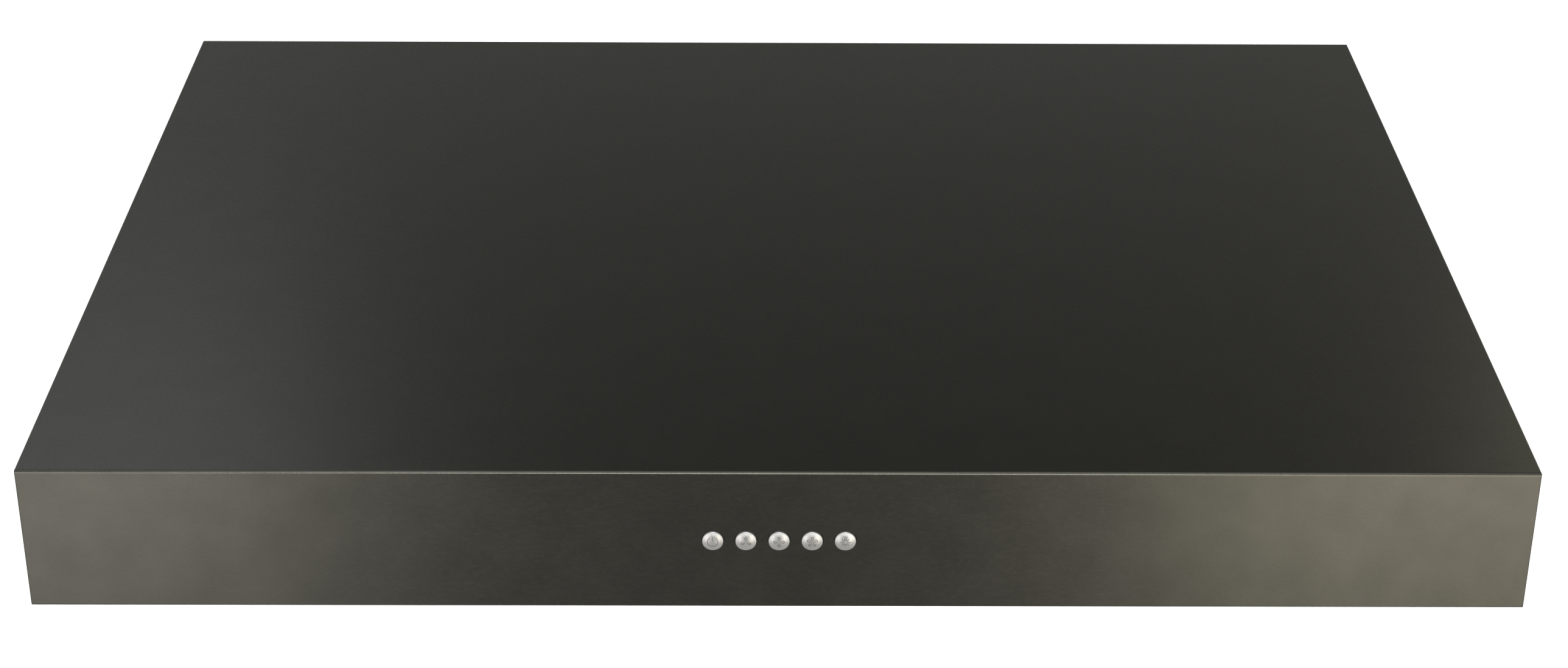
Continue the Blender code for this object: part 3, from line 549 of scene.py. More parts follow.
def ribbon(bm, line, centre, closed):
    """A thin printed line on the dome, along (right, up) points measured from the button's centre."""
    proud, deep = 0.00004, -0.00015
    count = len(line)
    edges = []
    for i in range(count):
        before = Vector(line[(i - 1) % count if closed else max(i - 1, 0)])
        after = Vector(line[(i + 1) % count if closed else min(i + 1, count - 1)])
        along = (after - before).normalized()
        across = Vector((-along.y, along.x)) * ICON_HALF_LINE
        corners = []
        for side, lift in ((1, proud), (-1, proud), (-1, deep), (1, deep)):
            p = Vector(line[i]) + side * across
            corners.append(bm.verts.new((centre[0] + p.x, FRONT - dome(p.length) - lift, centre[1] + p.y)))
        edges.append(corners)
    pairs = closed_pairs(count)
    for i, j in pairs if closed else pairs[:-1]:
        for k, m in closed_pairs(4):
            bm.faces.new((edges[i][k], edges[i][m], edges[j][m], edges[j][k]))
    if not closed:
        bm.faces.new(edges[0])
        bm.faces.new(edges[-1][::-1])


def arc(radius, start, end, steps, centre=(0.0, 0.0)):
    """Points along an arc between two angles in degrees."""
    angles = [radians(start + (end - start) * i / steps) for i in range(steps + 1)]
    return [(centre[0] + radius * cos(a), centre[1] + radius * sin(a)) for a in angles]


def polar(radius, angle):
    return radius * cos(radians(angle)), radius * sin(radians(angle))


def fan_blade(direction):
    """A teardrop outline with its point towards the hub."""
    tail, head, r = 0.0006, 0.00215, 0.00058
    reach = head - tail
    spread = degrees(acos(r / reach))
    outline = [(tail, 0.0)] + [(head + a, b) for a, b in arc(r, -(180 - spread), 180 - spread, 18)]
    c, s = polar(1.0, direction)
    return [(u * c - v * s, u * s + v * c) for u, v in outline]


def icon_lines(name):
    """(points, closed) pairs, as (right, up) from the button's centre."""
    if name == "power":
        gap = 32
        ring = arc(0.00262, 90 + gap, 450 - gap, 40)
        return [(ring, False), ([(0, 0.00045), (0, 0.0016), (0, 0.00285)], False)]
    blades = {"low": 3, "medium": 4, "high": 5}
    if name in blades:
        return [(fan_blade(90 + 360 * i / blades[name]), True) for i in range(blades[name])]
    bulb, base, rays = 0.00135, 0.0005, (0.00185, 0.00225, 0.00262)
    neck = [(-base, 0.00142)] + arc(base, 180, 0, 10, (0, 0.00235)) + [(base, 0.00142)]
    lines = [(arc(bulb, 0, 350, 35), True), (neck, False)]
    return lines + [([polar(r, angle) for r in rays], False) for angle in (0, 45, 135, 180, 225, 270, 315)]


def button_icon(name):
    bm = bmesh.new()
    for line, closed in icon_lines(name):
        ribbon(bm, line, button_centre(name), closed)
    put(solid("icon_" + name, bm, M["icon_print"], 60), name + "_button", "black_plastic")


canopy()
for button in BUTTONS:
    button_cap(button)
    button_icon(button)


# ---- sheet work


def rounded_path(points, radius, steps=6):
    """The points with each inner corner made into an arc of this radius."""
    path = [Vector(points[0])]
    for before, corner, after in zip(points, points[1:], points[2:]):
        corner = Vector(corner)
        towards = (Vector(before) - corner).normalized()
        away = (Vector(after) - corner).normalized()
        half = acos(max(-1.0, min(1.0, towards.dot(away)))) / 2
        reach = radius / tan(half)
        centre = corner + (towards + away).normalized() * (radius / sin(half))
        first, last = corner + towards * reach - centre, corner + away * reach - centre
        sweep = first.angle_signed(last)
        for i in range(steps + 1):
            path.append(centre + Matrix.Rotation(-sweep * i / steps, 2) @ first)
    path.append(Vector(points[-1]))
    return path


def bent_sheet(points, thick, radius, steps=6):
    """The closed outline of a sheet whose left-hand face runs through the points."""
    inner = rounded_path(points, radius, steps)
    outer = []
    for i, here in enumerate(inner):
        before, after = inner[max(i - 1, 0)], inner[min(i + 1, len(inner) - 1)]
        before_way = (here - before).normalized() if i else (after - here).normalized()
        after_way = (after - here).normalized() if i < len(inner) - 1 else before_way
        way = (before_way + after_way).normalized()
        outer.append(here + Vector((way.y, -way.x)) * thick / max(0.5, way.dot(after_way)))
    return [tuple(p) for p in inner] + [tuple(p) for p in outer[::-1]]


def rounded_rectangle(low, high, radius, steps=6, inset=0.0):
    """Corner by corner, as (a, b) pairs, its sides moved inwards by inset."""
    reach = radius + inset
    left, bottom, right, top = low[0] + reach, low[1] + reach, high[0] - reach, high[1] - reach
    outline = []
    for a, b, start in ((right, top, 0), (left, top, 90), (left, bottom, 180), (right, bottom, 270)):
        outline += arc(radius, start, start + 90, steps, (a, b))
    return outline


def is_closed(bm):
    return all(len(edge.link_faces) == 2 for edge in bm.edges)


def softened(node, width, segments):
    """The node's own shape, its flat faces made whole and its sharp edges rounded where that stays closed."""
    flat, sharp = radians(0.6), radians(30)
    bm = bmesh.new()
    bm.from_mesh(frame["nodes"][node].data)
    bmesh.ops.remove_doubles(bm, verts=bm.verts[:], dist=LEVEL)
    bmesh.ops.dissolve_limit(bm, angle_limit=flat, verts=bm.verts[:], edges=bm.edges[:])
    plain = bm.copy()
    edges = [e for e in bm.edges if e.is_manifold and e.calc_face_angle(0.0) > sharp]
    bmesh.ops.bevel(
        bm, geom=edges, offset=width, segments=segments, profile=0.5, affect="EDGES", clamp_overlap=True
    )
    bmesh.ops.remove_doubles(bm, verts=bm.verts[:], dist=1e-7)
    rounded, spare = (bm, plain) if is_closed(bm) else (plain, bm)
    spare.free()
    return rounded


def body_of_node(node):
    return next(body for body, nodes in BODIES.items() if node in nodes)


def refine(node, width, segments):
    """A rounded stand-in for a node, in its own finish."""
    slot = SLOTS[node]
    obj = solid("fine_" + node, softened(node, width, segments), M[slot], 40)
    put(weighted(obj), body_of_node(node), slot, node)


def tube(bm, path, radius, sides=16):
    """A round bar along the path, closed at its ends."""
    path = [Vector(p) for p in path]
    angles = [2 * pi * i / sides for i in range(sides)]
    rings = []
    side = None
    for i, here in enumerate(path):
        way = (path[min(i + 1, len(path) - 1)] - path[max(i - 1, 0)]).normalized()
        if side is None:
            side = way.orthogonal().normalized()
        side = (side - way * side.dot(way)).normalized()
        other = way.cross(side)
        loop = [here + radius * (cos(a) * side + sin(a) * other) for a in angles]
        rings.append([bm.verts.new(p) for p in loop])
    for here, there in zip(rings, rings[1:]):
        for j, k in closed_pairs(sides):
            bm.faces.new((here[j], here[k], there[k], there[j]))
    bm.faces.new(rings[0][::-1])
    bm.faces.new(rings[-1])


def screw_head():
    """A pan head of unit radius on Z = 0, with a crossed recess."""
    rim = [(0.7 + 0.3 * cos(a), 0.14 + 0.36 * sin(a)) for a in QUARTER]
    head = solid("head", turned([(0, -0.2), (1, -0.2)] + rim + [(0, 0.52)], 32))
    for a, b in ((0.62, 0.13), (0.13, 0.62)):
        carve(head, box((-a, -b, 0.22), (a, b, 0.8)))
    mesh = head.data.copy()
    bpy.data.objects.remove(head)
    return mesh


HEAD = screw_head()


def screw(bm, place, way, radius):
    turn = Vector(way).to_track_quat("Z", "Y").to_matrix().to_4x4()
    before = len(bm.verts)
    bm.from_mesh(HEAD)
    bm.verts.ensure_lookup_table()
    matrix = Matrix.Translation(place) @ turn @ Matrix.Scale(radius, 4)
    bmesh.ops.transform(bm, matrix=matrix, verts=bm.verts[before:])


def screws(name, places, way, radius=0.0036):
    bm = bmesh.new()
    for place in places:
        screw(bm, place, way, radius)
    piece(name, bm, "hood", "stainless", angle=40)


# ---- back panel and duct connector


def collar_outline(inset, radius):
    """The duct's outside, moved inwards by inset."""
    return rounded_rectangle((-COLLAR_HALF, COLLAR_BOTTOM), (COLLAR_HALF, COLLAR_TOP), radius, inset=inset)


def add_screw_holes(bm, start, end):
    """The two holes for the collar's screws."""
    for side in (-1, 1):
        spot = (side * (COLLAR_HALF + COLLAR_FLANGE / 2), (COLLAR_TOP + COLLAR_BOTTOM) / 2)
        add_prism(bm, circle(0.0021, 24, spot), 1, start, end)


def back_panel():
    low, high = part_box("back_panel")
    path = [(low.y, low.z), (high.y, low.z), (high.y, high.z), (low.y, high.z)]
    panel = solid("back", prism(bent_sheet(path[::-1], SHEET, 0.002), 0, low.x, high.x), M["black_stainless"])
    x, _, z = middle_of("cable_gland")
    outlines = [collar_outline(-0.00075, 0.0045)]
    outlines.append(circle(0.0105, 40, (x, z)))
    outlines += [keyhole(across, -0.034) for across in (-0.33, -0.19, 0.19, 0.33)]
    start, end = WALL - 0.01, WALL + 0.01
    cuts = bmesh.new()
    for outline in outlines:
        add_prism(cuts, outline, 1, start, end)
    add_screw_holes(cuts, start, end)
    carve(panel, cuts)
    put(weighted(panel), "hood", "black_stainless", "back_panel")


def keyhole(x, z):
    """The outline of a round hole with a narrower slot above it."""
    r, half_slot = 0.006, 0.003
    first = 180 - degrees(acos(half_slot / r))
    lower = arc(r, first, 540 - first, 32, (x, z))
    upper = arc(half_slot, 0, 180, 12, (x, z + 0.011))
    return lower + upper


def duct_collar():
    low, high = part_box("duct_collar")
    flange_back = WALL - SHEET - GAP
    sheet = 0.001
    duct = prism(collar_outline(0, 0.004), 1, flange_back - 0.0005, high.y)
    collar = solid("collar", duct, M["galvanised_steel"])
    plate = rounded_rectangle(low.xz, high.xz, 0.005)
    carve(collar, prism(plate, 1, flange_back - sheet, flange_back), "UNION")
    for y in (WALL + 0.0215, WALL + 0.031):
        bead = prism(collar_outline(-0.0005, 0.0045), 1, y, y + 0.0024)
        round_edges(bead, level_edges(bead, 1), 0.0007, 2)
        carve(collar, bead, "UNION")
    carve(collar, prism(collar_outline(sheet, 0.003), 1, flange_back - 0.01, high.y + 0.01))
    pin_y, pin_z = pin_axis()
    half, bottom = COLLAR_HALF - 0.0005, COLLAR_BOTTOM
    stop = box((-half, pin_y - 0.0001, bottom + 0.0005), (half, pin_y + 0.0011, bottom + sheet + 0.004))
    carve(collar, stop, "UNION")
    holes = prism(circle(0.0018, 24, (pin_y, pin_z)), 0, -0.2, 0.2)
    add_screw_holes(holes, flange_back - 0.02, flange_back + 0.001)
    carve(collar, holes)
    put(weighted(collar), "hood", "galvanised_steel", "duct_collar")


def pin_axis():
    """The damper pin's middle, as (Y, Z)."""
    return middle_of("damper_pin")[1:]


def damper():
    low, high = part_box("damper_flap")
    y, z = pin_axis()
    front, back = y + 0.0014, y + 0.0022
    plate = rounded_rectangle((low.x, low.z), (high.x, z), 0.0025)
    flap = solid("flap", prism(plate, 1, front, back), M["galvanised_steel"])
    end, half, height = 0.02, 0.0035, 0.001
    for level in (0.35, 0.7):
        middle = z + (low.z - z) * level
        rib = rounded_rectangle((low.x + end, middle - half), (high.x - end, middle + half), 0.0034)
        ridge = prism(rib, 1, back - 0.0002, back + height)
        top = [e for e in ridge.edges if min(v.co.y for v in e.verts) > back + height - 0.0001]
        round_edges(ridge, top, 0.0009, 3)
        carve(flap, ridge, "UNION")
    knuckles = bmesh.new()
    for x in (-0.095, 0.0, 0.095):
        add_prism(knuckles, circle(0.0028, 32, (y, z)), 0, x - 0.012, x + 0.012)
    carve(flap, knuckles, "UNION")
    carve(flap, prism(circle(0.0018, 32, (y, z)), 0, -0.2, 0.2))
    put(weighted(flap), "damper", "galvanised_steel", "damper_flap")


def damper_pin():
    low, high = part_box("damper_pin")
    y, z = pin_axis()
    r, end, taper = (high.y - low.y) / 2, high.x, 0.0006
    profile = [(0, -end), (r * 0.7, -end), (r, -end + taper), (r, end - taper), (r * 0.7, end), (0, end)]
    bm = turned(profile, 32, Matrix.Translation((0, y, z)) @ ACROSS)
    piece("pin", bm, "hood", "stainless", "damper_pin")


def collar_screw(name):
    x, _, z = middle_of(name)
    bm = bmesh.new()
    screw(bm, (x, WALL + GAP, z), (0, 1, 0), radius_of(name))
    r, root, pitch, turns, shank = 0.0017, 0.8, 0.0011, 5, 0.0012
    profile = [(0, WALL)]
    for i in range(turns):
        y = WALL - shank - pitch * i
        profile += [(r * root, y), (r, y - pitch * 0.4), (r * root, y - pitch * 0.8)]
    profile += [(0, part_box(name)[0].y)]
    lathe(bm, profile, 24, Matrix.Translation((x, 0, z)) @ BACK)
    piece("fine_" + name, bm, "hood", "stainless", name, angle=40)


def cable_gland():
    x, _, z = middle_of("cable_gland")
    bore, thread, root, pitch, body, nut_top = 0.0055, 0.01, 0.0094, 0.0018, 0.0112, 0.006
    profile = [(bore, -0.016), (root, -0.016)]
    for i in range(9):
        start = -0.0155 + pitch * i
        profile += [(root, start), (thread, start + 0.0006), (thread, start + 0.0009)]
    profile += [(thread, 0.0008), (0.0114, 0.0008), (0.0114, nut_top), (body, 0.0068), (body, 0.012)]
    profile += [(0.0104, 0.0134), (0.0085, 0.014), (bore + 0.0006, 0.014), (bore, 0.0134)]
    gland = solid("gland", turned(profile, 48), M["black_plastic"])
    nut = prism(circle(0.0135, 6), 2, 0.0009, nut_top)
    round_edges(nut, level_edges(nut, 2), 0.0006, 2)
    join_around(nut, lambda: box((-0.0006, 0.0108, 0.0072), (0.0006, 0.0117, 0.0122)), 16)
    carve(gland, nut, "UNION")
    carve(gland, prism(circle(bore, 48), 2, -0.005, 0.012), angle=30)
    gland.data.transform(Matrix.Translation((x, WALL, z)) @ BACK)
    put(weighted(gland), "hood", "black_plastic", "cable_gland")


# ---- underside


def liner_pan():
    low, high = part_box("liner_pan")
    path = side_outline(BACK_HEIGHT + low.z, high.y)[1:5]
    outline = bent_sheet(path[::-1], 0.001, 0.0015)
    pan = solid("liner", prism(outline, 0, low.x, high.x), (M["stainless"], M["stainless_along"]))
    room, reach = 0.0015, 0.03
    for side in ("left", "right"):
        half = FILTER_HALF + room
        opening = rounded_rectangle((-half, FILTER_FRONT - room), (half, 0.0), 0.004)
        carve(pan, moved(prism(opening, 2, -reach, reach), filter_frame(side)))
        lamp_hole = prism(circle(0.03, 64), 2, -LIP - 0.01, -LIP + 0.01)
        carve(pan, moved(lamp_hole, upright("lamp_bezel_" + side)))
    low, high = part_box("grease_tray")
    slot = rounded_rectangle(low, high, 0.006, inset=-0.0012)
    carve(pan, prism(slot, 2, -BACK_HEIGHT - 0.01, -BACK_HEIGHT + 0.01))
    put(weighted(pan), "hood", "stainless", "liner_pan")


def filter_frame(side):
    """The matrix of the filter's own frame: Y along the slope, Z off its face, on its hinge."""
    joint = next(j for j in frame["joints"] if j["name"] == side + "_filter_drop")
    return Matrix.Translation(joint["pos_m"]) @ Matrix.Rotation(-SLOPE, 4, "X")


def filter_outline(inset, radius):
    return rounded_rectangle((-FILTER_HALF, FILTER_FRONT), (FILTER_HALF, FILTER_REAR), radius, inset=inset)


def filter_rail(side):
    """The filter's rim: a hollow rail with a window, two hinge tabs and the latch's slots."""
    t, rim = FILTER_SHEET, FILTER_RIM
    bar = prism(filter_outline(0, 0.0045), 2, FILTER_LOW, FILTER_HIGH)
    round_edges(bar, level_edges(bar, 2), 0.0016, 4)
    rail = solid("frame_" + side, bar, (M["stainless"], M["stainless_along"]))
    carve(rail, prism(filter_outline(t, 0.0035), 2, FILTER_LOW + t, FILTER_HIGH - t))
    carve(rail, prism(filter_outline(rim, 0.003), 2, -0.03, 0.03))
    tabs = bmesh.new()
    for x in (-0.11, 0.11):
        tab = rounded_rectangle((x - 0.015, FILTER_REAR - 0.0005), (x + 0.015, 0.008), 0.003)
        add_prism(tabs, tab, 2, -0.0006, 0.0006)
    carve(rail, tabs, "UNION")
    front, low = FILTER_FRONT, FILTER_LOW
    slots = box((-0.0065, front - 0.01, -0.0018), (0.0065, front + 0.005, 0.0018))
    join(slots, box((-0.0055, front + 0.0011, low - 0.01), (0.0055, front + 0.0118, low + 0.005)))
    carve(rail, slots)
    for face in rail.data.polygons:
        at_side = abs(face.center.x) > FILTER_HALF - rim
        face.material_index = 1 if at_side and abs(face.center.y - front) > rim else 0
    rail.data.transform(filter_frame(side))
    put(weighted(rail), side + "_filter", "stainless", "filter_frame_" + side)


def filter_rivets(side):
    inset = FILTER_RIM / 2
    profile = [(0, -0.0006), (0.0022, -0.0006), (0.0022, 0.0002)]
    profile += [(0.0017, 0.0006), (0.0009, 0.0009), (0, 0.001)]
    rivets = bmesh.new()
    for x in (-FILTER_HALF + inset, FILTER_HALF - inset):
        for y in (FILTER_FRONT + inset, FILTER_REAR - inset):
            lathe(rivets, profile, 20, Matrix.Translation((x, y, FILTER_LOW)) @ DOWN)
    piece("rivets_" + side, moved(rivets, filter_frame(side)), side + "_filter", "stainless", angle=50)


def filter_baffles(side):
    """Two end plates, and between them two rows of channels that face each other and interlock."""
    inset = FILTER_SHEET + GAP
    low, high, width = FILTER_LOW + inset, FILTER_HIGH - inset, FILTER_HALF - FILTER_SHEET - GAP
    start, end, plate = FILTER_FRONT + 0.0122, FILTER_REAR - FILTER_SHEET - GAP, 0.0012
    rows = bmesh.new()
    for y in (start, end - plate):
        add_prism(rows, rounded_rectangle((-width, low), (width, high), 0.0012, 3), 1, y, y + plate)
    pitch, height, half, lip, count, lift = 0.038, 0.005, 0.013, 0.0045, 9, 0.0002
    path = [(half - lip, height), (half, height), (half, 0)]
    path += [(-x, up) for x, up in path[::-1]]
    section = bent_sheet(path, 0.0006, 0.0014, 5)
    start, end = start + plate / 2, end - plate / 2
    for i in range(count):
        middle = (i - count // 2) * pitch
        add_prism(rows, [(middle + x, low + lift + z) for x, z in section], 1, start, end)
        if i < count - 1:
            add_prism(rows, [(middle + pitch / 2 + x, high - lift - z) for x, z in section], 1, start, end)
    rows = solid("baffles_" + side, moved(rows, filter_frame(side)), M["stainless_along"])
    put(rows, side + "_filter", "stainless", "filter_baffles_" + side)


def filter_handle(side):
    y, top, drop, bend, half = FILTER_FRONT + 0.008, FILTER_LOW - GAP, 0.022, 0.007, 0.045
    bar = [(-half, y, top), (-half, y, top - drop + bend)]
    for a in QUARTER[1:]:
        bar.append((-half + bend * (1 - cos(a)), y, top - drop + bend * (1 - sin(a))))
    bar += [(-x, b, n) for x, b, n in bar[::-1]]
    grip = bmesh.new()
    tube(grip, bar, 0.0025)
    foot = [(0, 0.0), (0.0046, 0.0), (0.0046, 0.0006), (0.0034, 0.0013), (0.0026, 0.0024), (0, 0.0024)]
    for x in (-half, half):
        lathe(grip, foot, 28, Matrix.Translation((x, y, top)) @ DOWN)
    grip = moved(grip, filter_frame(side))
    piece("handle_" + side, grip, side + "_filter", "stainless", "filter_handle_" + side, angle=40)


def grease_tray():
    low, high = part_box("grease_tray")
    t = 0.0008
    block = prism(rounded_rectangle(low, high, 0.0055), 2, low.z, high.z)
    round_edges(block, edges_at_or_below(block, low.z), 0.002, 5)
    tray = solid("tray", block, M["stainless"])
    hollow = prism(rounded_rectangle(low, high, 0.0047, inset=t), 2, low.z + t, high.z + 0.01)
    round_edges(hollow, edges_at_or_below(hollow, low.z + t), 0.0012, 4)
    carve(tray, hollow)
    put(weighted(tray), "tray", "stainless", "grease_tray")


def lamp_bezel(side):
    node = "lamp_bezel_" + side
    outer, face, top, place = round_part(node)
    inner, fillet = 0.0245, 0.0009
    profile = [(inner, face + 0.0003), (inner + 0.0003, face), (outer - 0.0022, face)]
    for a in QUARTER[::2]:
        profile.append((outer - fillet + fillet * sin(a), face + fillet * (1 - cos(a))))
    profile += [(outer, top), (inner, top)]
    piece("bezel_" + side, turned(profile, 96, place), "hood", "stainless", node)


def lamp_lens(side):
    node = "lamp_lens_" + side
    r, face, top, place = round_part(node)
    rings, ridge, valley = 9, face + 0.0001, face + 0.0005
    profile = [(0, top), (r, top), (r, face + 0.0007), (r - 0.0008, face + 0.0002)]
    for i in range(rings):
        outward = r - 0.0012 - (r - 0.004) * i / rings
        profile += [(outward, ridge), (outward - 0.0009, valley), (outward - 0.0014, ridge)]
    profile += [(0.002, face), (0, face)]
    piece("lens_" + side, turned(profile, 80, place), "hood", "lamp_glass", node, angle=20)


def lamp_housing(side):
    """A shallow cup with cooling fins on its top."""
    node = "lamp_housing_" + side
    r, rim, top, place = round_part(node)
    inside = r - 0.0012
    profile = [(0, top - 0.003), (0.0262, top - 0.003), (inside, top - 0.0045), (inside, rim), (r, rim)]
    profile += [(r, top - 0.004), (r - 0.0006, top - 0.0026), (r - 0.002, top - 0.0018), (0, top - 0.0018)]
    cup = turned(profile, 72, place)
    join_around(cup, lambda: box((0.008, -0.0005, top - 0.0024), (r - 0.003, 0.0005, top)), 20, place)
    piece("lamp_cup_" + side, cup, "hood", "galvanised_steel", node, angle=30)


# ---- blower and its motor


def impeller():
    """A back plate with a sunk hub, a ring at the inlet side, and forward-curved blades between them."""
    rim, bottom, top, place = round_part("impeller")
    wall, hub, bore, boss, cone = 0.0012, -0.048, SHAFT_BORE, 0.012, 0.05
    plate = top - wall
    profile = [(bore, hub), (bore, hub - 0.006), (boss - 0.001, hub - 0.006), (boss, hub - 0.005)]
    profile += [(boss, hub - 0.002), (boss + 0.002, hub - wall), (cone - 0.003, hub - wall)]
    profile += [(cone, hub + 0.0016), (cone, plate - 0.003), (cone + 0.003, plate)]
    profile += [(rim - 0.0006, plate), (rim, plate + 0.0004)]
    profile += [(rim, top - 0.0003), (rim - 0.0003, top), (cone + 0.0018, top), (cone - wall, top - 0.003)]
    profile += [(cone - wall, hub + 0.0022), (cone - 0.0035, hub)]
    wheel = turned(profile, 96, place)
    eye, soft, thick = 0.089, 0.0003, 0.0016
    shroud = [(eye, bottom + soft), (eye + soft, bottom), (rim - soft, bottom), (rim, bottom + soft)]
    shroud += [(rim, bottom + thick - soft), (rim - soft, bottom + thick)]
    shroud += [(eye + soft, bottom + thick), (eye, bottom + thick - soft)]
    lathe(wheel, shroud, 96, place)
    blades, start, end, steps, lean = 24, 0.086, 0.103, 9, 0.2
    for index in range(blades):
        front, rear = [], []
        for i in range(steps + 1):
            t = i / steps
            r = start + (end - start) * t
            a = 2 * pi * index / blades + lean * t * t
            half = (0.0003 + 0.0003 * sin(pi * (0.15 + 0.7 * t))) / r
            front.append((r * cos(a + half), r * sin(a + half)))
            rear.append((r * cos(a - half), r * sin(a - half)))
        join(wheel, moved(prism(front + rear[::-1], 2, bottom + 0.0006, top - 0.0006), place))
    piece("fan_wheel", wheel, "impeller", "black_plastic", "impeller")


def inlet_ring():
    rim, bottom, lip, place = round_part("inlet_ring")
    soft, outer, inner, throat = 0.0003, 0.004, 0.003, 0.0895
    face = bottom + outer - inner
    profile = [(rim - soft, face), (rim, face - soft), (rim, bottom + soft), (rim - soft, bottom)]
    profile += [(throat - outer * sin(a), face + inner - outer * cos(a)) for a in QUARTER]
    profile += [(throat - outer, lip), (throat - inner, lip)]
    profile += [(throat - inner * sin(a), face + inner * (1 - cos(a))) for a in QUARTER[::-1]]
    piece("bell_mouth", turned(profile, 120, place), "hood", "black_plastic", "inlet_ring", angle=40)
    places = []
    for i in range(6):
        x, y = polar(0.0975, 30 + 60 * i)
        places.append(place @ Vector((x, y, bottom)))
    screws("inlet_screws", places, (0, 0, -1), 0.0026)


def motor_body():
    r, end, top, place = round_part("motor_body")
    seam, bell_rise, bore_end = 0.001, 0.005, -0.02
    side = [(r * 0.95, top), (r - 0.0006, top - 0.001), (r, top - 0.002), (r, top - 0.011)]
    side += [(r - seam, top - 0.0116), (r - seam, top - 0.015), (r, top - 0.0156), (r, end + bell_rise)]
    bell = [(r - 0.006 * (1 - cos(a)), end + bell_rise - 0.004 * sin(a)) for a in QUARTER]
    boss = [(0.017, end + 0.001), (0.016, end), (0.0075, end), (0.007, end + 0.0006)]
    shaft_hole = [(SHAFT_BORE, end + 0.0006), (SHAFT_BORE, bore_end), (0, bore_end)]
    profile = [(0, top)] + side + bell + boss + shaft_hole
    body = solid("motor", turned(profile, 80, place), M["motor_steel"])
    slot = rounded_rectangle((0.021, -0.0016), (0.033, 0.0016), 0.0015, 4)
    vents = bmesh.new()
    join_around(vents, lambda: prism(slot, 2, end - 0.001, end + 0.003), 12, place)
    carve(body, vents)
    put(weighted(body), "hood", "motor_steel", "motor_body")


def motor_shaft():
    r, end, top, place = round_part("motor_shaft")
    soft = 0.0008
    profile = [(0, top), (r, top), (r, end + soft), (r - soft, end), (0, end)]
    piece("shaft", turned(profile, 48, place), "impeller", "stainless", "motor_shaft", angle=30)


def motor_isolator(number):
    """A rubber bush with a narrow waist."""
    node = f"motor_isolator_{number}"
    r, low, high, place = round_part(node)
    soft, steps = 0.0003, 8
    profile = [(0, low), (r - soft, low)]
    for k in range(steps + 1):
        profile.append((r - 0.0012 * sin(pi * k / steps), low + (high - low) * (0.15 + 0.7 * k / steps)))
    profile += [(r - soft, high), (0, high)]
    piece(f"isolator_{number}", turned(profile, 40, place), "hood", "rubber", node, angle=40)


# ---- switches


def button_spring(name):
    low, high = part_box("spring_" + name)
    x, _, z = middle_of("spring_" + name)
    wire, turns, steps, press = 0.0003, 4, 20, 0.003
    r, length = radius_of("spring_" + name) - wire, high.y - low.y - 2 * wire
    path = []
    for i in range(turns * steps + 1):
        a = 2 * pi * i / steps
        path.append((x + r * cos(a), low.y + wire + length * i / (turns * steps), z + r * sin(a)))
    bm = bmesh.new()
    tube(bm, path, wire, 8)
    coil = piece("coil_" + name, bm, "hood", "stainless", "spring_" + name, angle=60)
    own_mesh(coil)


def soft_box(low, high, width, segments):
    bm = box(low, high)
    round_edges(bm, bm.edges[:], width, segments)
    return bm


def switch_board():
    refine("switch_board", 0.0002, 1)
    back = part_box("switch_board")[1].y
    profile = [(0, -0.0004), (0.0009, -0.0004), (0.0009, 0.0001), (0.0003, 0.0009), (0, 0.0009)]
    solder = bmesh.new()
    for name in BUTTONS:
        x, z = button_centre(name)
        for right in (-0.0032, 0.0032):
            for up in (-0.0026, 0.0026):
                lathe(solder, profile, 16, Matrix.Translation((x + right, back, z + up)) @ BACK)
    piece("solder_joints", solder, "hood", "stainless", angle=50)
    start = back - 0.0003
    chips = soft_box((-0.042, start, -0.048), (-0.03, back + 0.002, -0.042), 0.0003, 2)
    join(chips, soft_box((0.0415, start, -0.047), (0.0475, back + 0.0018, -0.04), 0.0003, 2))
    piece("board_chips", chips, "hood", "black_plastic")
    plug = soft_box((0.024, start, -0.0437), (0.036, back + 0.005, -0.0353), 0.0006, 3)
    piece("lead_plug", plug, "hood", "white_plastic")


# ---- electrical box


def capacitor():
    """A can with a rolled rim and two blade terminals."""
    low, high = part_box("run_capacitor")
    _, y, z = middle_of("run_capacitor")
    r, start, end, soft = (high.y - low.y) / 2, low.x, high.x, 0.001
    rim, face = end - 0.0004, end - 0.0014
    profile = [(0, start), (r - soft, start), (r, start + soft), (r, end - 0.003), (r - 0.0006, end - 0.0022)]
    profile += [(r, face), (r - 0.0008, rim), (r - 0.002, rim), (r - 0.0024, face), (0, face)]
    bm = turned(profile, 64, Matrix.Translation((0, y, z)) @ ACROSS)
    for side in (-0.005, 0.005):
        add_box(bm, (end - 0.002, y + side - 0.0004, z - 0.0024), (end, y + side + 0.0004, z + 0.0024))
    piece("capacitor_can", bm, "hood", "capacitor_sleeve", "run_capacitor")


def smooth_lead(node):
    """The lead's own route, made round."""
    bm = bmesh.new()
    bm.from_mesh(frame["nodes"][node].data)
    bmesh.ops.remove_doubles(bm, verts=bm.verts[:], dist=LEVEL)
    bmesh.ops.dissolve_limit(bm, angle_limit=radians(0.5), verts=bm.verts[:], edges=bm.edges[:])
    lead = solid("fine_" + node, bm, M["lead_sleeve"])
    step = lead.modifiers.new("round", "SUBSURF")
    step.levels = step.render_levels = 2
    settle(lead)
    smooth(lead, 60)
    put(lead, "hood", SLOTS[node], node)


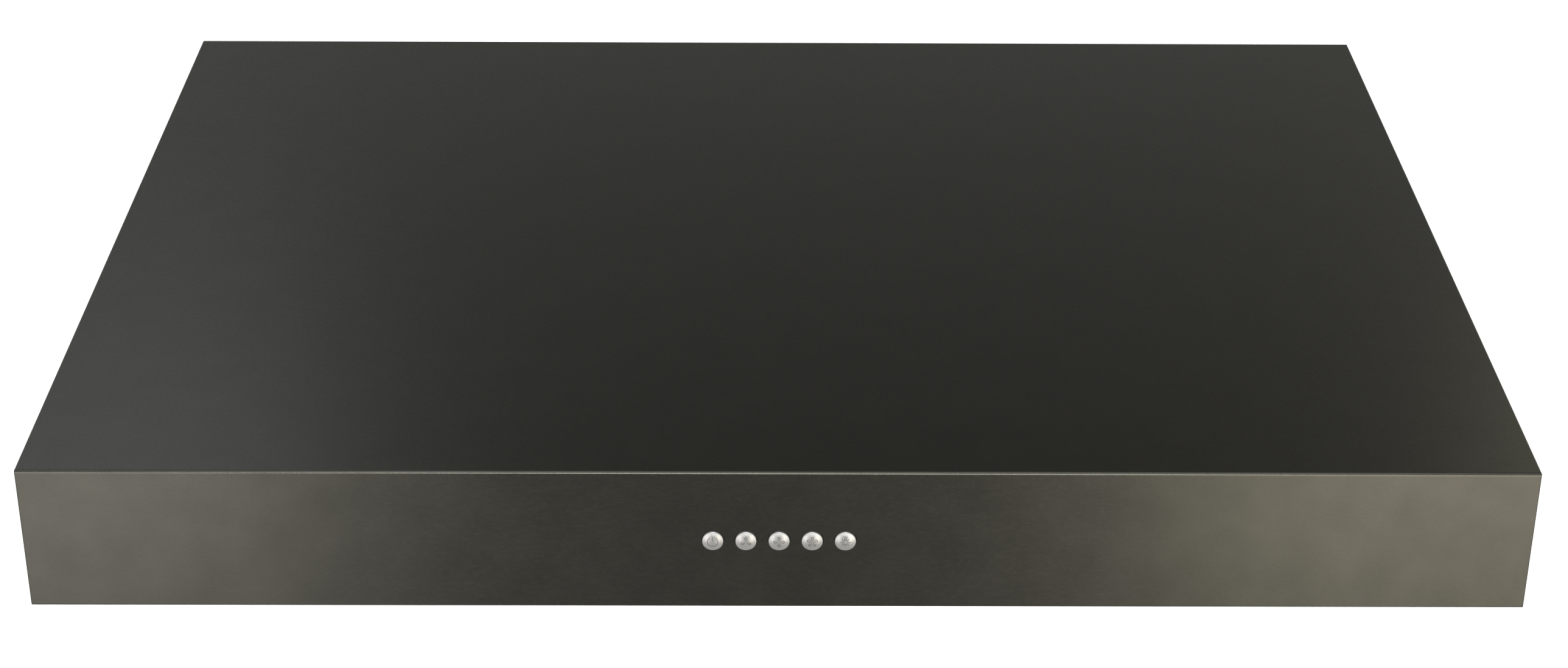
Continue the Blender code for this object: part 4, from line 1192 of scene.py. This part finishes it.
def electrical_box():
    refine("control_box", 0.0004, 3)
    refine("control_box_cover", 0.0004, 3)
    refine("led_driver", 0.0015, 3)
    refine("terminal_block", 0.0005, 2)
    capacitor()
    low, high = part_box("control_box_cover")
    inset = 0.007
    places = [(x, y, low.z) for x in (low.x + inset, high.x - inset) for y in (low.y + inset, high.y - inset)]
    screws("cover_screws", places, (0, 0, -1), 0.003)
    low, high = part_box("terminal_block")
    count = 3
    pitch = (high.y - low.y) / count
    places = [(low.x + 0.015, low.y + pitch * (i + 0.5), low.z + 0.006) for i in range(count)]
    screws("terminal_screws", places, (0, 0, -1), 0.0028)


def hem_screws():
    middle = HEM / 2
    screws("front_hem_screws", [(x, FRONT + middle, -LIP) for x in (-0.3, -0.1, 0.1, 0.3)], (0, 0, -1))
    places = []
    for side in (-1, 1):
        for y in (-0.15, 0.01, 0.17):
            places.append((side * (HALF - middle), y, -LIP - (y - SLOPE_FRONT) * tan(SLOPE)))
    screws("side_hem_screws", places, (0, -sin(SLOPE), -cos(SLOPE)))


back_panel()
duct_collar()
damper()
damper_pin()
for side in ("left", "right"):
    collar_screw("collar_screw_" + side)
    filter_rail(side)
    filter_rivets(side)
    filter_baffles(side)
    filter_handle(side)
    refine("filter_latch_" + side, 0.0005, 3)
    lamp_bezel(side)
    lamp_lens(side)
    lamp_housing(side)
    refine("mounting_rail_" + side, 0.0005, 3)
cable_gland()
liner_pan()
grease_tray()
hem_screws()
for node in ("blower_scroll", "scroll_cover", "transition_duct", "motor_bracket", "impeller_nut"):
    refine(node, 0.0003, 2)
impeller()
inlet_ring()
motor_body()
motor_shaft()
for number in (1, 2, 3):
    motor_isolator(number)
for button in BUTTONS:
    button_spring(button)
refine("switch_body", 0.0005, 3)
refine("switch_bracket", 0.0004, 2)
switch_board()
electrical_box()
for lead in ("switch_lead", "lamp_lead_left", "lamp_lead_right", "motor_lead"):
    smooth_lead(lead)


# ---- studio


def studio_world():
    """A pale world with a darker band behind the object, which the top mirrors."""
    world = bpy.data.worlds.new("studio")
    bpy.context.scene.world = world
    world.use_nodes = True
    tree = world.node_tree
    background = tree.nodes["Background"]
    place = tree.nodes.new("ShaderNodeTexCoord")
    split = tree.nodes.new("ShaderNodeSeparateXYZ")
    tree.links.new(place.outputs["Generated"], split.inputs[0])
    ramp = tree.nodes.new("ShaderNodeValToRGB")
    ramp.color_ramp.interpolation = "EASE"
    stops = ((0.0, 1.0), (0.55, 1.0), (0.65, 0.31), (0.715, 0.26), (0.77, 0.31), (0.95, 0.8))
    dim, dim_blue, front_level = 0.5, 0.9, (1.3, 1.3, 1.3, 1)
    elements = ramp.color_ramp.elements
    while len(elements) < len(stops):
        elements.new(0.5)
    for element, (position, level) in zip(elements, stops):
        element.position = position
        element.color = (level, level, level * (dim_blue if level < dim else 1.0), 1)
    height = remap(tree, split.outputs["Z"], 0.0, 1.0, -1.0, 1.0)
    tree.links.new(height, ramp.inputs[0])
    ahead = remap(tree, split.outputs["Y"], 1.0, 0.0, -0.9, 0.1)
    mix = tree.nodes.new("ShaderNodeMix")
    mix.data_type = "RGBA"
    mix.inputs[7].default_value = front_level
    tree.links.new(ramp.outputs[0], mix.inputs[6])
    tree.links.new(ahead, mix.inputs[0])
    tree.links.new(mix.outputs[2], background.inputs["Color"])
    background.inputs["Strength"].default_value = 1.06


def aimed(place, target):
    return (Vector(target) - Vector(place)).to_track_quat("-Z", "Y")


def softbox(name, place, target, width, height, watts, colour=(1, 1, 1), spread=180):
    light = bpy.data.lights.new(name, "AREA")
    light.shape = "RECTANGLE"
    light.size, light.size_y = width, height
    light.energy = watts
    light.spread = radians(spread)
    light.color = colour
    obj = linked(name, light)
    obj.location = place
    obj.rotation_mode = "QUATERNION"
    obj.rotation_quaternion = aimed(place, target)
    obj.visible_camera = False


def studio_floor():
    made, tree, shader = new_material("floor_paper", 0.0)
    clouds = noise(tree, 0.7, 2.0)
    tree.links.new(blended(tree, clouds, (0.86, 0.86, 0.86), (0.88, 0.88, 0.88)), shader.inputs["Base Color"])
    shader.inputs["Roughness"].default_value = 0.9
    shader.inputs["Specular IOR Level"].default_value = 0.1
    level = -1.0
    bm = bmesh.new()
    bmesh.ops.create_circle(bm, cap_ends=True, radius=14.0, segments=96)
    bmesh.ops.translate(bm, verts=bm.verts[:], vec=(0, 0, level))
    solid("studio_floor", bm, made)


def studio():
    bpy.context.scene.view_settings.view_transform = "Standard"
    studio_world()
    studio_floor()
    sun = bpy.data.lights.new("overhead", "SUN")
    sun.energy = 1.5
    sun.angle = radians(60)
    linked("overhead", sun)
    cool, neutral, warm, sunny = (0.95, 0.99, 1.0), (1.0, 0.965, 0.94), (1.0, 0.93, 0.82), (1.0, 0.96, 0.76)
    softbox("front_left", (-1.12, -1.65, -0.3), (-1.12, 0, -0.3), 1.3, 1.4, 27.0, neutral, 110)
    softbox("front_right", (1.06, -1.65, -0.3), (1.06, 0, -0.3), 1.3, 1.4, 33.5, warm, 110)
    softbox("upper_left", (-1.12, -1.65, 1.0), (-1.12, 0, 1.0), 1.3, 1.2, 4.0, neutral, 110)
    softbox("upper_right", (1.03, -1.65, 1.0), (1.03, 0, 1.0), 1.3, 1.2, 4.5, warm, 110)
    softbox("overhead_key", (0.0, -1.1, 1.75), (0, -0.28, 0), 1.8, 1.0, 12.0, spread=120)
    softbox("button_glow", (0.0, -1.6, 0.5), (0, -0.28, -0.04), 0.9, 0.35, 5.0, spread=60)
    softbox("rear_left", (-1.75, 3.1, 2.6), (-0.2, 0, 0), 2.0, 1.1, 15.5, cool)
    softbox("rear_right", (1.9, 3.1, 1.9), (0.2, 0, 0), 1.0, 0.9, 6.0, sunny)


def camera():
    """The photo's viewpoint, found from the object's outline."""
    data = bpy.data.cameras.new("camera")
    data.sensor_fit = "HORIZONTAL"
    data.sensor_width = 36.0
    data.lens = 68.13
    obj = linked("camera", data)
    yaw, pitch, roll = (radians(a) for a in (0.489, 27.84, 0.372))
    forward = Vector((sin(yaw) * cos(pitch), cos(yaw) * cos(pitch), -sin(pitch)))
    right = Vector((cos(yaw), -sin(yaw), 0))
    up = right.cross(forward)
    across = right * cos(roll) + up * sin(roll)
    above = up * cos(roll) - right * sin(roll)
    turn = Matrix((across, above, -forward)).transposed()
    obj.matrix_world = Matrix.Translation((-0.009, -1.5446, 0.7456)) @ turn.to_4x4()
    bpy.context.scene.camera = obj


camera()
studio()
